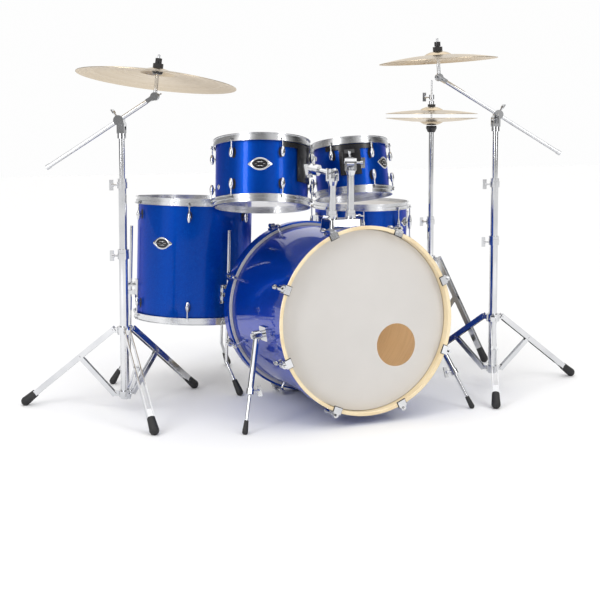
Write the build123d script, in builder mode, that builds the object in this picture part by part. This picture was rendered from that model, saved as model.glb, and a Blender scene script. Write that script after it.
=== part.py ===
from build123d import *
import math
import os

os.makedirs("parts", exist_ok=True)

# An acoustic drum kit on its stands, in millimetres.
# The kit stands on z = 0. The bass drum's axis runs along Y, its front head looks to -Y,
# and the drummer sits on the +Y side. X points to the right as seen from the front.

# Where the middle of the whole kit lies from the floor point under the bass drum's front.
KIT_X = 11.99
KIT_Y = 717.54

# ---- drums: shell radius, depth and place of the centre ----
SHELL_WALL = 7.5
BASS_RADIUS = 277.0
BASS_DEPTH = 457.0
BASS_LENGTH = 515.0
BASS_TILT = 3.13
BASS_HOOP_RADIUS = 292.0
BASS_HOOP_WALL = 11.5
BASS_HOOP_DEPTH = 38.0
PORT_RADIUS = 67.0
PORT_X = 108.0
PORT_Y = -85.0

TOM12_RADIUS = 151.0
TOM12_DEPTH = 196.0
TOM10_RADIUS = 125.5
TOM10_DEPTH = 170.0
TOM_TILT = 12.0
FLOOR_TOM_RADIUS = 201.5
FLOOR_TOM_DEPTH = 406.0
SNARE_RADIUS = 175.0
SNARE_DEPTH = 140.0

# ---- parts every hooped drum shares ----
FILM = 0.8
HOOP_SHEET = 2.3
HOOP_RISE = 12.0
HOOP_DROP = 13.0
HOOP_REACH = 12.5
EAR_REACH = 18.0
EAR_WIDTH = 13.0
ROD_STANDOFF = 13.0
ROD_RADIUS = 2.4
ROD_HOLE = 2.9
LUG_RADIUS = 7.5
LUG_HALF = 16.0
LUG_INSET = 48.0

# ---- stands ----
LOWER_TUBE = 14.3
MIDDLE_TUBE = 12.7
UPPER_TUBE = 9.5
RUNNING_GAP = 0.1
STRAP_WIDTH = 18.0
STRAP_THICK = 2.5
STRAP_SPREAD = 9.0
FOOT_RADIUS = 15.0
FOOT_LENGTH = 44.0
FOOT_SINK = 1.2

# ---- cymbals ----
CYMBAL_THICKNESS = 1.5
CYMBAL_HOLE = 6.5


def compass(angle):
    """Level unit vector at an angle from +X, turning towards +Y."""
    return Vector(math.cos(math.radians(angle)), math.sin(math.radians(angle)), 0)


def place(x, y, z):
    """A point given from the floor under the bass drum's front, in the kit's own frame."""
    return Vector(x - KIT_X, y - KIT_Y, z)


def upright(x, y, z, facing=0.0, lean=0.0, toward=0.0):
    """A plane whose z axis leans from the vertical and whose x axis faces a compass angle."""
    axis = compass(toward) * math.sin(math.radians(lean)) + Vector(0, 0, math.cos(math.radians(lean)))
    face = compass(facing)
    face = (face - axis * face.dot(axis)).normalized()
    return Plane(origin=place(x, y, z), x_dir=face, z_dir=axis)


def section_plane(plane):
    """The plane of a turned section: x is the radius and y the height along the axis."""
    return Plane(origin=plane.origin, x_dir=plane.x_dir, z_dir=-plane.y_dir)


def turned(plane, outline, mode=Mode.ADD):
    """Revolve a closed outline of (radius, height) points about the plane's z axis."""
    with BuildSketch(section_plane(plane)) as section:
        with BuildLine():
            Polyline(*outline, close=True)
        make_face()
    revolve(section.sketch, axis=Axis(plane.origin, plane.z_dir), mode=mode)


def rod(start, end, radius, mode=Mode.ADD):
    """A round bar between two points."""
    with BuildSketch(Plane(origin=start, z_dir=end - start)) as section:
        Circle(radius)
    extrude(section.sketch, amount=(end - start).length, mode=mode)


def cone(start, end, start_radius, end_radius):
    """A tapered bar between two points."""
    length = (end - start).length
    plane = Plane(origin=start, z_dir=end - start)
    turned(plane, [(0, 0), (start_radius, 0), (end_radius, length), (0, length)])


def tube(start, end, radius, bore):
    """A round pipe between two points."""
    with BuildSketch(Plane(origin=start, z_dir=end - start)) as section:
        Circle(radius)
        Circle(bore, mode=Mode.SUBTRACT)
    extrude(section.sketch, amount=(end - start).length)


def bar(start, end, width, thick, across, mode=Mode.ADD):
    """A flat bar between two points, its width lying across."""
    with BuildSketch(Plane(origin=start, x_dir=across, z_dir=end - start)) as section:
        Rectangle(width, thick)
    extrude(section.sketch, amount=(end - start).length, mode=mode)


def ball(centre, radius):
    """A ball at a point."""
    plane = Plane(origin=centre, x_dir=(1, 0, 0), z_dir=(0, 0, 1))
    with BuildSketch(section_plane(plane)) as section:
        with BuildLine():
            Line((0, -radius), (0, radius))
            ThreePointArc((0, radius), (radius, 0), (0, -radius))
        make_face()
    revolve(section.sketch, axis=Axis(plane.origin, plane.z_dir))


def trim_to_floor(x, y, reach):
    """Cut what reaches below the floor, which leaves flat treads under rounded feet."""
    with BuildSketch(Plane(origin=place(x, y, -40), x_dir=(1, 0, 0), z_dir=(0, 0, 1))) as patch:
        Rectangle(2 * reach, 2 * reach)
    extrude(patch.sketch, amount=40, mode=Mode.SUBTRACT)


def wing_bolt(root, outward, across):
    """A wing bolt that stands out of a clamp: its shank, hub and two flat wings."""
    rod(root, root + outward * 14, 3.5)
    rod(root + outward * 12, root + outward * 20, 5.5)
    bar(root + outward * 14, root + outward * 27, 34, 4, across)


def keep(piece, name):
    """Label a finished piece and write it."""
    piece.part.label = name
    export_step(piece.part, f"parts/{name}.step")


# ---------------------------------------------------------------- hooped drums

def drum_shell(plane, radius, depth):
    """A round shell whose edges are bevelled inward to a bearing edge."""
    half = depth / 2
    with BuildPart() as shell:
        turned(plane, [(radius - SHELL_WALL, half - SHELL_WALL), (radius, half),
                       (radius, -half), (radius - SHELL_WALL, SHELL_WALL - half)])
    return shell


def drum_heads(plane, radius, depth):
    """The two drumheads, each a film with a collar and a flesh hoop round the shell's end."""
    with BuildPart() as heads:
        for end in (1, -1):
            outline = [(0, 0), (radius + 0.5, 0), (radius + 0.5, -8), (radius + 6.2, -8),
                       (radius + 6.2, -3), (radius + 1.3, -3), (radius + 1.3, FILM), (0, FILM)]
            turned(plane, [(across, end * (depth / 2 + up)) for across, up in outline])
    return heads


def drum_hoops(plane, radius, depth, count, phase):
    """Two triple-flanged steel hoops with an eared, drilled lower flange."""
    with BuildPart(plane) as hoops:
        for end in (1, -1):
            outline = [(6.6, -HOOP_DROP), (HOOP_REACH, -HOOP_DROP), (HOOP_REACH, HOOP_SHEET - HOOP_DROP),
                       (8.9, HOOP_SHEET - HOOP_DROP), (8.9, -0.5), (4.6, -0.5),
                       (4.6, HOOP_RISE - HOOP_SHEET), (9.0, HOOP_RISE - HOOP_SHEET), (9.0, HOOP_RISE),
                       (2.3, HOOP_RISE), (2.3, -2.8), (6.6, -2.8)]
            turned(plane, [(radius + across, end * (depth / 2 + up)) for across, up in outline])
            flange = end * (depth / 2 - HOOP_DROP + HOOP_SHEET / 2)
            with PolarLocations(radius + 7.5, count, start_angle=phase):
                with Locations((0, 0, flange)):
                    Box(EAR_REACH - 7.5, EAR_WIDTH, HOOP_SHEET, align=(Align.MIN, Align.CENTER, Align.CENTER))
            with PolarLocations(radius + ROD_STANDOFF, count, start_angle=phase):
                with Locations((0, 0, flange)):
                    Cylinder(ROD_HOLE, HOOP_SHEET * 3, mode=Mode.SUBTRACT)
    return hoops


def lug_outline(half, radius):
    """Half of an almond-shaped lug, about its own axis."""
    with BuildLine() as edge:
        Line((0, -half), (0, half))
        Line((0, half), (3.6, half))
        ThreePointArc((3.6, half), (radius, 0), (3.6, -half))
        Line((3.6, -half), (0, -half))
    return edge.line


def lug_pair(radius, depth, inset, half, lug_radius, standoff, top):
    """One lug and its tension rod at each end of a drum whose axis is Z, on its +X side."""
    height = depth / 2 - inset
    spine = Plane(origin=(radius + standoff, 0, height), x_dir=(1, 0, 0), z_dir=(0, 0, 1))
    with BuildPart() as pair:
        with BuildSketch(section_plane(spine)):
            add(lug_outline(half, lug_radius))
            make_face()
        revolve(axis=Axis(spine.origin, spine.z_dir))
        rod(Vector(radius, 0, height), Vector(radius + standoff, 0, height), 4.6)
        rod(Vector(radius + standoff, 0, height), Vector(radius + standoff, 0, height + half + 1),
            ROD_RADIUS + 0.3, mode=Mode.SUBTRACT)
        rod(Vector(radius + standoff, 0, height + 2), Vector(radius + standoff, 0, top), ROD_RADIUS)
        with Locations((radius + standoff, 0, top + 4)):
            Box(6.3, 6.3, 8)
        with Locations((radius + standoff, 0, top + 0.9)):
            Cylinder(3.9, 1.8)
        mirror(about=Plane.XY)
    return pair


def drum_lugs(plane, radius, depth, count, phase):
    """All lugs and tension rods of a drum, evenly spaced round it."""
    pair = lug_pair(radius, depth, LUG_INSET, LUG_HALF, LUG_RADIUS, ROD_STANDOFF,
                    depth / 2 - HOOP_DROP + HOOP_SHEET + 0.2)
    with BuildPart(plane) as lugs:
        with PolarLocations(0, count, start_angle=phase):
            add(pair.part)
    return lugs


# ---------------------------------------------------------------- bass drum
# Its plane's z axis runs along the drum from the rear head to the front head.

TILT_COS = math.cos(math.radians(BASS_TILT))
TILT_SIN = math.sin(math.radians(BASS_TILT))
BASS_REAR_HEIGHT = BASS_HOOP_RADIUS * TILT_COS
BASS_MIDDLE = place(0, BASS_LENGTH / 2 * TILT_COS, BASS_REAR_HEIGHT + BASS_LENGTH / 2 * TILT_SIN)
BASS = Plane(origin=BASS_MIDDLE, x_dir=(1, 0, 0), z_dir=(0, -TILT_COS, TILT_SIN))
BASS_LUGS = 8
BASS_PHASE = 22.5
T_ROD_STANDOFF = 24.5

keep(drum_shell(BASS, BASS_RADIUS, BASS_DEPTH), "bass_shell")

with BuildPart() as bass_hoops:
    for side in (1, -1):
        near = side * (BASS_LENGTH / 2 - BASS_HOOP_DEPTH)
        far = side * BASS_LENGTH / 2
        inner = BASS_HOOP_RADIUS - BASS_HOOP_WALL
        turned(BASS, [(inner, near), (BASS_HOOP_RADIUS, near), (BASS_HOOP_RADIUS, far - side * 2),
                      (BASS_HOOP_RADIUS - 2, far), (inner + 2, far), (inner, far - side * 2)])
keep(bass_hoops, "bass_hoops")

with BuildPart(BASS) as bass_heads:
    for side in (1, -1):
        rim = [(0, 0), (277.6, 0), (277.6, -16), (285.5, -16), (285.5, -9.4), (278.8, -9.4),
               (278.8, FILM), (0, FILM)]
        turned(BASS, [(across, side * (BASS_DEPTH / 2 + up)) for across, up in rim])
    with Locations((PORT_X, PORT_Y, BASS_DEPTH / 2)):
        Cylinder(PORT_RADIUS, 10, mode=Mode.SUBTRACT)
keep(bass_heads, "bass_heads")

bass_lug = lug_pair(BASS_RADIUS, BASS_DEPTH, 38, 17, 8, T_ROD_STANDOFF, BASS_DEPTH / 2 + 31.5)
with BuildPart(BASS) as bass_lugs:
    with PolarLocations(0, BASS_LUGS, start_angle=BASS_PHASE):
        add(bass_lug.part)
keep(bass_lugs, "bass_lugs_and_rods")

CLAW_END = BASS_LENGTH / 2
with BuildPart() as claw:
    with Locations((BASS_HOOP_RADIUS + 2.7, 0, CLAW_END - 11)):
        Box(5, 26, 26)
    with Locations((BASS_HOOP_RADIUS - 5, 0, CLAW_END + 1.9)):
        Box(20.4, 26, 3.4)
    with Locations((BASS_RADIUS + T_ROD_STANDOFF, 0, CLAW_END - 11)):
        Cylinder(8.5, 26)
        Cylinder(3.4, 60, mode=Mode.SUBTRACT)
    mirror(about=Plane.XY)
with BuildPart(BASS) as bass_claws:
    with PolarLocations(0, BASS_LUGS, start_angle=BASS_PHASE):
        add(claw.part)
keep(bass_claws, "bass_claws")


def bass_side(side, along, below):
    """A plane on the bass shell's side: z points out of the shell, y along the drum to the front."""
    angle = math.radians(below)
    outward = (BASS.x_dir * side * math.cos(angle) - BASS.y_dir * math.sin(angle)).normalized()
    origin = BASS.origin + outward * BASS_RADIUS + BASS.z_dir * (BASS_LENGTH / 2 - along)
    return Plane(origin=origin, x_dir=BASS.z_dir.cross(outward), z_dir=outward)


# ---- spurs: a bracket on each side of the shell and a leg that folds on it ----
SPUR_ALONG = 170.0
SPUR_BELOW = 8.0
SPUR_FOOT_X = 390.0
SPUR_FOOT_Y = 33.0
SPUR_PIVOT_OUT = 28.0
SPUR_SLEEVE = 0.62


def spur_parts(side):
    """The pivot point, its axis and the foot point of one spur."""
    base = bass_side(side, SPUR_ALONG, SPUR_BELOW)
    pivot = base.origin + base.z_dir * SPUR_PIVOT_OUT
    foot = place(side * SPUR_FOOT_X, SPUR_FOOT_Y, 9 - FOOT_SINK)
    return base, pivot, foot


def spur_leg(side):
    """A sleeve with a hub that turns on the bracket, an inner rod and a rubber foot."""
    base, pivot, foot = spur_parts(side)
    along = (foot - pivot).normalized()
    joint = pivot + (foot - pivot) * SPUR_SLEEVE
    with BuildPart() as leg:
        rod(pivot - base.z_dir * 8, pivot + base.z_dir * 12, 15)
        rod(pivot - base.z_dir * 20, pivot + base.z_dir * 20, 5.3, mode=Mode.SUBTRACT)
        tube(pivot + along * 17, joint, 9.5, 5.2)
        rod(pivot + along * 15, pivot + along * 24, 9.5)
        rod(joint - along * 16, joint + along * 2, 12.5)
        wing_bolt(joint - along * 7 - Vector(side * 10, 0, 0), Vector(-side, 0, 0), along)
        rod(joint - along * 30, foot - along * 30, 4.9)
        cone(foot - along * 34, foot - along * 6, 6.5, 8.5)
        ball(foot, 9)
        rod(foot - along * 8, foot, 8.6)
        trim_to_floor(side * SPUR_FOOT_X, SPUR_FOOT_Y, 100)
    return leg


# ---- tom mount: a base on top of the shell and two posts ----
MOUNT_Y = 200.0
POST_X = 32.0
POST_RADIUS = 11.0
MOUNT_TOP = 617.0
SOCKET_TOP = 633.0
POST_LEFT_TOP = 738.0
POST_RIGHT_TOP = 770.0
HEAD_LIFT = 26.0

with BuildPart() as bass_brackets:
    with BuildSketch(Plane(origin=place(0, MOUNT_Y, 572), x_dir=(1, 0, 0), z_dir=(0, 0, 1))):
        RectangleRounded(118, 92, 14)
    extrude(amount=MOUNT_TOP - 572, taper=6)
    for side in (-1, 1):
        rod(place(side * POST_X, MOUNT_Y, MOUNT_TOP - 2), place(side * POST_X, MOUNT_Y, SOCKET_TOP), 17)
        wing_bolt(place(side * (POST_X + 14), MOUNT_Y, 625), Vector(side, 0, 0), Vector(0, 1, 0))
    for side in (-1, 1):
        base, pivot, foot = spur_parts(side)
        with BuildSketch(base) as pad:
            RectangleRounded(46, 58, 8)
        extrude(pad.sketch, amount=7)
        extrude(pad.sketch, amount=-4)
        rod(base.origin + base.z_dir * 6, base.origin + base.z_dir * 19.6, 11)
        rod(base.origin + base.z_dir * 19, base.origin + base.z_dir * 44, 5.2)
        rod(base.origin + base.z_dir * 40.4, base.origin + base.z_dir * 46, 9)
    rod(BASS.origin - BASS.z_dir * 200, BASS.origin + BASS.z_dir * 200, BASS_RADIUS + 0.05,
        mode=Mode.SUBTRACT)
    for side in (-1, 1):
        rod(place(side * POST_X, MOUNT_Y, 590), place(side * POST_X, MOUNT_Y, 640),
            POST_RADIUS + RUNNING_GAP, mode=Mode.SUBTRACT)
keep(bass_brackets, "bass_drum_brackets")


def tom_post(side, top):
    """A post in its socket with a forked head for the tom arm's hinge."""
    head = place(side * POST_X, MOUNT_Y, top + HEAD_LIFT)
    reach = (TOM_CENTRES[side] - head)
    across = Vector(-reach.Y, reach.X, 0).normalized()
    with BuildPart() as post:
        rod(place(side * POST_X, MOUNT_Y, 592), place(side * POST_X, MOUNT_Y, top - 8), POST_RADIUS)
        rod(place(side * POST_X, MOUNT_Y, SOCKET_TOP + 0.3), place(side * POST_X, MOUNT_Y, SOCKET_TOP + 12), 15)
        cone(place(side * POST_X, MOUNT_Y, top - 14), place(side * POST_X, MOUNT_Y, top + 2), 12, 17)
        for hand in (-1, 1):
            bar(head + across * hand * 15.5 - Vector(0, 0, HEAD_LIFT - 1), head + across * hand * 15.5,
                7, 28, across)
            rod(head + across * hand * 12, head + across * hand * 19, 14)
        rod(head - across * 21, head + across * 21, 4)
        wing_bolt(head - across * side * 19, across * -side, Vector(0, 0, 1))
    return post


# ---------------------------------------------------------------- rack toms

TOM12 = upright(-201, 389, 754, facing=247.4, lean=TOM_TILT, toward=67.4)
TOM10 = upright(171, 489, 757, facing=308.5, lean=TOM_TILT, toward=90)
TOM_CENTRES = {-1: TOM12.origin, 1: TOM10.origin}
PLATE_IN = 3.5
PLATE_OUT = 7.0


def shell_plate(drum, radius, outward, half_angle, low, high):
    """A curved plate that stands off a shell and wraps part of the way round it."""
    reach = 2 * radius
    spread = reach * math.tan(math.radians(half_angle))
    with BuildSketch(Plane(origin=drum.origin + drum.z_dir * low, x_dir=outward, z_dir=drum.z_dir)) as section:
        Circle(radius + PLATE_OUT)
        Circle(radius + PLATE_IN, mode=Mode.SUBTRACT)
        Polygon((0, 0), (reach, -spread), (reach, spread), align=None, mode=Mode.INTERSECT)
    extrude(section.sketch, amount=high - low)


def tom_arm(side, top, drum, radius, depth):
    """A tilting hub, an arm to the drum and the clamp bracket on the drum's shell."""
    head = place(side * POST_X, MOUNT_Y, top + HEAD_LIFT)
    level = Vector(drum.origin.X - head.X, drum.origin.Y - head.Y, 0).normalized()
    across = Vector(-level.Y, level.X, 0)
    outward = -level
    outward = (outward - drum.z_dir * outward.dot(drum.z_dir)).normalized()
    wall = drum.origin + outward * radius
    grip = wall + outward * 26 + drum.z_dir * 6
    along = (grip - head).normalized()
    with BuildPart() as arm:
        rod(head - across * 11.6, head + across * 11.6, 13)
        rod(head, grip, 8)
        bar(wall + outward * 0.4 - drum.z_dir * 34, wall + outward * 0.4 + drum.z_dir * 46, 52, 8, across)
        bar(wall + outward * 2, wall + outward * 24, 34, 44, across)
        rod(grip - along * 30, grip + along * 10, 18)
        shell_plate(drum, radius, outward, 38, depth / 2 - LUG_INSET + LUG_HALF + 1, depth / 2 - HOOP_DROP - 1.5)
        shell_plate(drum, radius, outward, 16, -0.2 * depth, depth / 2 - LUG_INSET + LUG_HALF + 1)
        rod(drum.origin - drum.z_dir * 80, drum.origin + drum.z_dir * 80, radius + 0.3, mode=Mode.SUBTRACT)
        rod(head - across * 30, head + across * 30, 4.1, mode=Mode.SUBTRACT)
        wing_bolt(grip - along * 12 + drum.z_dir * 16, drum.z_dir, across)
    return arm


keep(tom_post(-1, POST_LEFT_TOP), "tom_post_left")
keep(tom_post(1, POST_RIGHT_TOP), "tom_post_right")
keep(tom_arm(-1, POST_LEFT_TOP, TOM12, TOM12_RADIUS, TOM12_DEPTH), "tom12_arm")
keep(tom_arm(1, POST_RIGHT_TOP, TOM10, TOM10_RADIUS, TOM10_DEPTH), "tom10_arm")

for name, drum, radius, depth, phase in (("tom12", TOM12, TOM12_RADIUS, TOM12_DEPTH, -34),
                                         ("tom10", TOM10, TOM10_RADIUS, TOM10_DEPTH, -32)):
    keep(drum_shell(drum, radius, depth), f"{name}_shell")
    keep(drum_heads(drum, radius, depth), f"{name}_heads")
    keep(drum_hoops(drum, radius, depth, 6, phase), f"{name}_hoops")
    keep(drum_lugs(drum, radius, depth, 6, phase), f"{name}_lugs_and_rods")

# ---------------------------------------------------------------- floor tom

FLOOR_TOM = upright(-318, 763, 443.5, facing=247.4, lean=2.6, toward=35)
FLOOR_PHASE = -60
LEG_FEET = ((-608, 807), (-248, 481), (-134, 940))
LEG_OFFSET = 22.5
LEG_RADIUS = 5.5
LEG_TOP = 110.0
LEG_BEND = -340.0
BRACKET_HEIGHT = -110.0

keep(drum_shell(FLOOR_TOM, FLOOR_TOM_RADIUS, FLOOR_TOM_DEPTH), "floor_tom_shell")
keep(drum_heads(FLOOR_TOM, FLOOR_TOM_RADIUS, FLOOR_TOM_DEPTH), "floor_tom_heads")
keep(drum_hoops(FLOOR_TOM, FLOOR_TOM_RADIUS, FLOOR_TOM_DEPTH, 6, FLOOR_PHASE), "floor_tom_hoops")


def floor_leg_point(foot, height):
    """A point on a floor tom leg's line beside the shell, on the side of its foot."""
    outward = place(foot[0], foot[1], FLOOR_TOM.origin.Z) - FLOOR_TOM.origin
    outward = (outward - FLOOR_TOM.z_dir * outward.dot(FLOOR_TOM.z_dir)).normalized()
    return (FLOOR_TOM.origin + outward * (FLOOR_TOM_RADIUS + LEG_OFFSET) + FLOOR_TOM.z_dir * height), outward


def floor_leg(foot):
    """A leg rod that runs down beside the shell and then splays out to its rubber foot."""
    top, outward = floor_leg_point(foot, LEG_TOP)
    bend, outward = floor_leg_point(foot, LEG_BEND)
    ground = place(foot[0], foot[1], 12 - FOOT_SINK)
    along = (ground - bend).normalized()
    with BuildPart() as leg:
        rod(bend, top, LEG_RADIUS)
        ball(bend, LEG_RADIUS)
        rod(bend, ground - along * 30, LEG_RADIUS)
        cone(ground - along * 46, ground - along * 4, 8.5, 12)
        ball(ground, 12)
        trim_to_floor(foot[0], foot[1], 100)
    return leg


for name, foot in zip(("left", "front", "back"), LEG_FEET):
    keep(floor_leg(foot), f"floor_tom_leg_{name}")

floor_lug = lug_pair(FLOOR_TOM_RADIUS, FLOOR_TOM_DEPTH, LUG_INSET + 4, LUG_HALF, LUG_RADIUS, ROD_STANDOFF,
                     FLOOR_TOM_DEPTH / 2 - HOOP_DROP + HOOP_SHEET + 0.2)
with BuildPart(FLOOR_TOM) as floor_fittings:
    with PolarLocations(0, 6, start_angle=FLOOR_PHASE):
        add(floor_lug.part)
    for foot in LEG_FEET:
        centre, outward = floor_leg_point(foot, BRACKET_HEIGHT)
        across = FLOOR_TOM.z_dir.cross(outward)
        base = centre - outward * LEG_OFFSET
        for height in (-14, 14):
            bar(base + FLOOR_TOM.z_dir * height, base + outward * 32 + FLOOR_TOM.z_dir * height, 30, 14, across)
        bar(base, base + outward * 8, 40, 64, across)
        wing_bolt(centre + FLOOR_TOM.z_dir * 14 + across * 13, across, outward)
        rod(centre - FLOOR_TOM.z_dir * 60, centre + FLOOR_TOM.z_dir * 60, LEG_RADIUS + RUNNING_GAP,
            mode=Mode.SUBTRACT)
    rod(FLOOR_TOM.origin - FLOOR_TOM.z_dir * 180, FLOOR_TOM.origin + FLOOR_TOM.z_dir * 100,
        FLOOR_TOM_RADIUS + 0.05, mode=Mode.SUBTRACT)
keep(floor_fittings, "floor_tom_lugs_and_brackets")

keep(spur_leg(-1), "spur_left")
keep(spur_leg(1), "spur_right")

# ---------------------------------------------------------------- snare drum

SNARE = upright(365, 816, 539, facing=-45)
SNARE_LUGS = 8
SNARE_PHASE = 22.5
STRAINER_SPIN = 45.0
WIRE_COUNT = 12
WIRE_LENGTH = 290.0
WIRE_DROP = 72.9

keep(drum_shell(SNARE, SNARE_RADIUS, SNARE_DEPTH), "snare_shell")
keep(drum_heads(SNARE, SNARE_RADIUS, SNARE_DEPTH), "snare_heads")
keep(drum_hoops(SNARE, SNARE_RADIUS, SNARE_DEPTH, SNARE_LUGS, SNARE_PHASE), "snare_hoops")

STRAINER = SNARE.rotated((0, 0, STRAINER_SPIN))
LEVER_PIVOT = STRAINER.origin + STRAINER.x_dir * (SNARE_RADIUS + 24) - STRAINER.z_dir * 26

snare_lug = lug_pair(SNARE_RADIUS, SNARE_DEPTH, SNARE_DEPTH / 2, 26, LUG_RADIUS, ROD_STANDOFF,
                     SNARE_DEPTH / 2 - HOOP_DROP + HOOP_SHEET + 0.2)
with BuildPart(SNARE) as snare_fittings:
    with PolarLocations(0, SNARE_LUGS, start_angle=SNARE_PHASE):
        add(snare_lug.part)
    for outward in (STRAINER.x_dir, -STRAINER.x_dir):
        across = STRAINER.z_dir.cross(outward)
        middle = STRAINER.origin + outward * (SNARE_RADIUS + 9)
        bar(middle - STRAINER.z_dir * 40, middle + STRAINER.z_dir * 34, 30, 18, across)
        rod(middle + STRAINER.z_dir * 34, middle + STRAINER.z_dir * 44, 6)
    for hand in (-1, 1):
        ear = LEVER_PIVOT + STRAINER.y_dir * hand * 10
        bar(ear - STRAINER.x_dir * 12, ear + STRAINER.x_dir * 6, 12, 5, STRAINER.z_dir)
    rod(LEVER_PIVOT - STRAINER.y_dir * 12, LEVER_PIVOT + STRAINER.y_dir * 12, 2.4)
    rod(SNARE.origin - SNARE.z_dir * 50, SNARE.origin + SNARE.z_dir * 50, SNARE_RADIUS + 0.05,
        mode=Mode.SUBTRACT)
keep(snare_fittings, "snare_lugs_and_strainer")

with BuildPart() as strainer_lever:
    rod(LEVER_PIVOT - STRAINER.y_dir * 7, LEVER_PIVOT + STRAINER.y_dir * 7, 5.5)
    bar(LEVER_PIVOT, LEVER_PIVOT + STRAINER.z_dir * 58, 13, 5, STRAINER.y_dir)
    rod(LEVER_PIVOT + STRAINER.z_dir * 58 - STRAINER.x_dir * 2.5,
        LEVER_PIVOT + STRAINER.z_dir * 58 + STRAINER.x_dir * 4, 6.5)
    rod(LEVER_PIVOT - STRAINER.y_dir * 9, LEVER_PIVOT + STRAINER.y_dir * 9, 2.5, mode=Mode.SUBTRACT)
keep(strainer_lever, "snare_strainer_lever")

with BuildPart(STRAINER) as snare_wires:
    with GridLocations(0, 3.6, 1, WIRE_COUNT):
        with Locations((0, 0, -WIRE_DROP)):
            Cylinder(0.9, WIRE_LENGTH, rotation=(0, 90, 0))
    with Locations((WIRE_LENGTH / 2, 0, -WIRE_DROP), (-WIRE_LENGTH / 2, 0, -WIRE_DROP)):
        Box(14, 44, 1.6)
keep(snare_wires, "snare_wires")


# ---------------------------------------------------------------- stands

def tripod(x, y, core, foot_radius, phase, collar, hub):
    """Legs, braces and rubber feet of a stand, pinned to a leg collar and a lower hub."""
    turns = [(compass(phase + 120 * turn), compass(phase + 120 * turn + 90)) for turn in range(3)]
    ear_reach = core + 24
    inner_spread = STRAP_SPREAD - STRAP_THICK - 0.5
    rod(place(x, y, collar - 13), place(x, y, collar + 13), core + 8)
    rod(place(x, y, hub - 10), place(x, y, hub + 10), core + 6)
    for out, across in turns:
        for height, spread in ((collar, STRAP_SPREAD), (hub, inner_spread)):
            width = 2 * spread - STRAP_THICK - 0.6
            bar(place(x, y, height) + out * core, place(x, y, height) + out * (ear_reach + 6), width, 15, across)
    rod(place(x, y, hub - 20), place(x, y, collar + 20), core - 1, mode=Mode.SUBTRACT)
    for out, across in turns:
        for height in (collar, hub):
            pin = place(x, y, height) + out * ear_reach
            rod(pin - across * 20, pin + across * 20, 3.6, mode=Mode.SUBTRACT)
    for out, across in turns:
        top = place(x, y, collar) + out * ear_reach
        ground = place(x, y, FOOT_RADIUS - FOOT_SINK) + out * foot_radius
        foot_top = ground - (ground - top).normalized() * FOOT_LENGTH
        knee = top + (foot_top - top) * 0.42
        heel = place(x, y, hub) + out * ear_reach
        slope = (knee - heel).normalized()
        for hand in (-1, 1):
            side = across * hand * inner_spread
            bar(heel + side - slope * 8, knee + side + slope * 8, STRAP_THICK, STRAP_WIDTH - 3, across)
        rod(heel - across * (inner_spread + 1.2), heel + across * (inner_spread + 1.2), 3.5)
        rod(knee - across * 7.6, knee + across * 7.6, 3.6, mode=Mode.SUBTRACT)
    for out, across in turns:
        top = place(x, y, collar) + out * ear_reach
        ground = place(x, y, FOOT_RADIUS - FOOT_SINK) + out * foot_radius
        along = (ground - top).normalized()
        foot_top = ground - along * FOOT_LENGTH
        knee = top + (foot_top - top) * 0.42
        for hand in (-1, 1):
            side = across * hand * STRAP_SPREAD
            bar(top + side - along * 9, foot_top + side, STRAP_THICK, STRAP_WIDTH, across)
        bar(foot_top - along * 30, foot_top, 2 * STRAP_SPREAD, STRAP_WIDTH - 4, across)
        for pin in (top, knee):
            rod(pin - across * (STRAP_SPREAD + 3), pin + across * (STRAP_SPREAD + 3), 3.5)
        cone(foot_top + along * 0.3, ground, 12.5, FOOT_RADIUS - 0.1)
        ball(ground, FOOT_RADIUS)
    trim_to_floor(x, y, foot_radius + 2 * FOOT_RADIUS)


def collar_clamp(x, y, height, radius, bolt_angle):
    """A height clamp on top of a tube, with its wing bolt."""
    rod(place(x, y, height - 20), place(x, y, height), radius)
    out = compass(bolt_angle)
    wing_bolt(place(x, y, height - 10) + out * (radius - 2), out, Vector(0, 0, 1))


def lock_ring(x, y, height, radius):
    """A memory lock on a tube just above the clamp it rests on."""
    rod(place(x, y, height + 0.4), place(x, y, height + 11), radius)


def stand_base(x, y, foot_radius, phase, collar, hub, top, radius, inner, bolt_angle):
    """Tripod, lower tube and height clamp of a stand."""
    with BuildPart() as base:
        tripod(x, y, radius, foot_radius, phase, collar, hub)
        rod(place(x, y, hub - 16), place(x, y, top - 2), radius)
        collar_clamp(x, y, top, radius + 4, bolt_angle)
        rod(place(x, y, hub - 10), place(x, y, top + 1), inner + RUNNING_GAP, mode=Mode.SUBTRACT)
    return base


BOLT_SIDE = 157.4
BOOM_TUBE = 7.0
BOOM_LIFT = 16.0
TILTER_ROD = 4.0


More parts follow.
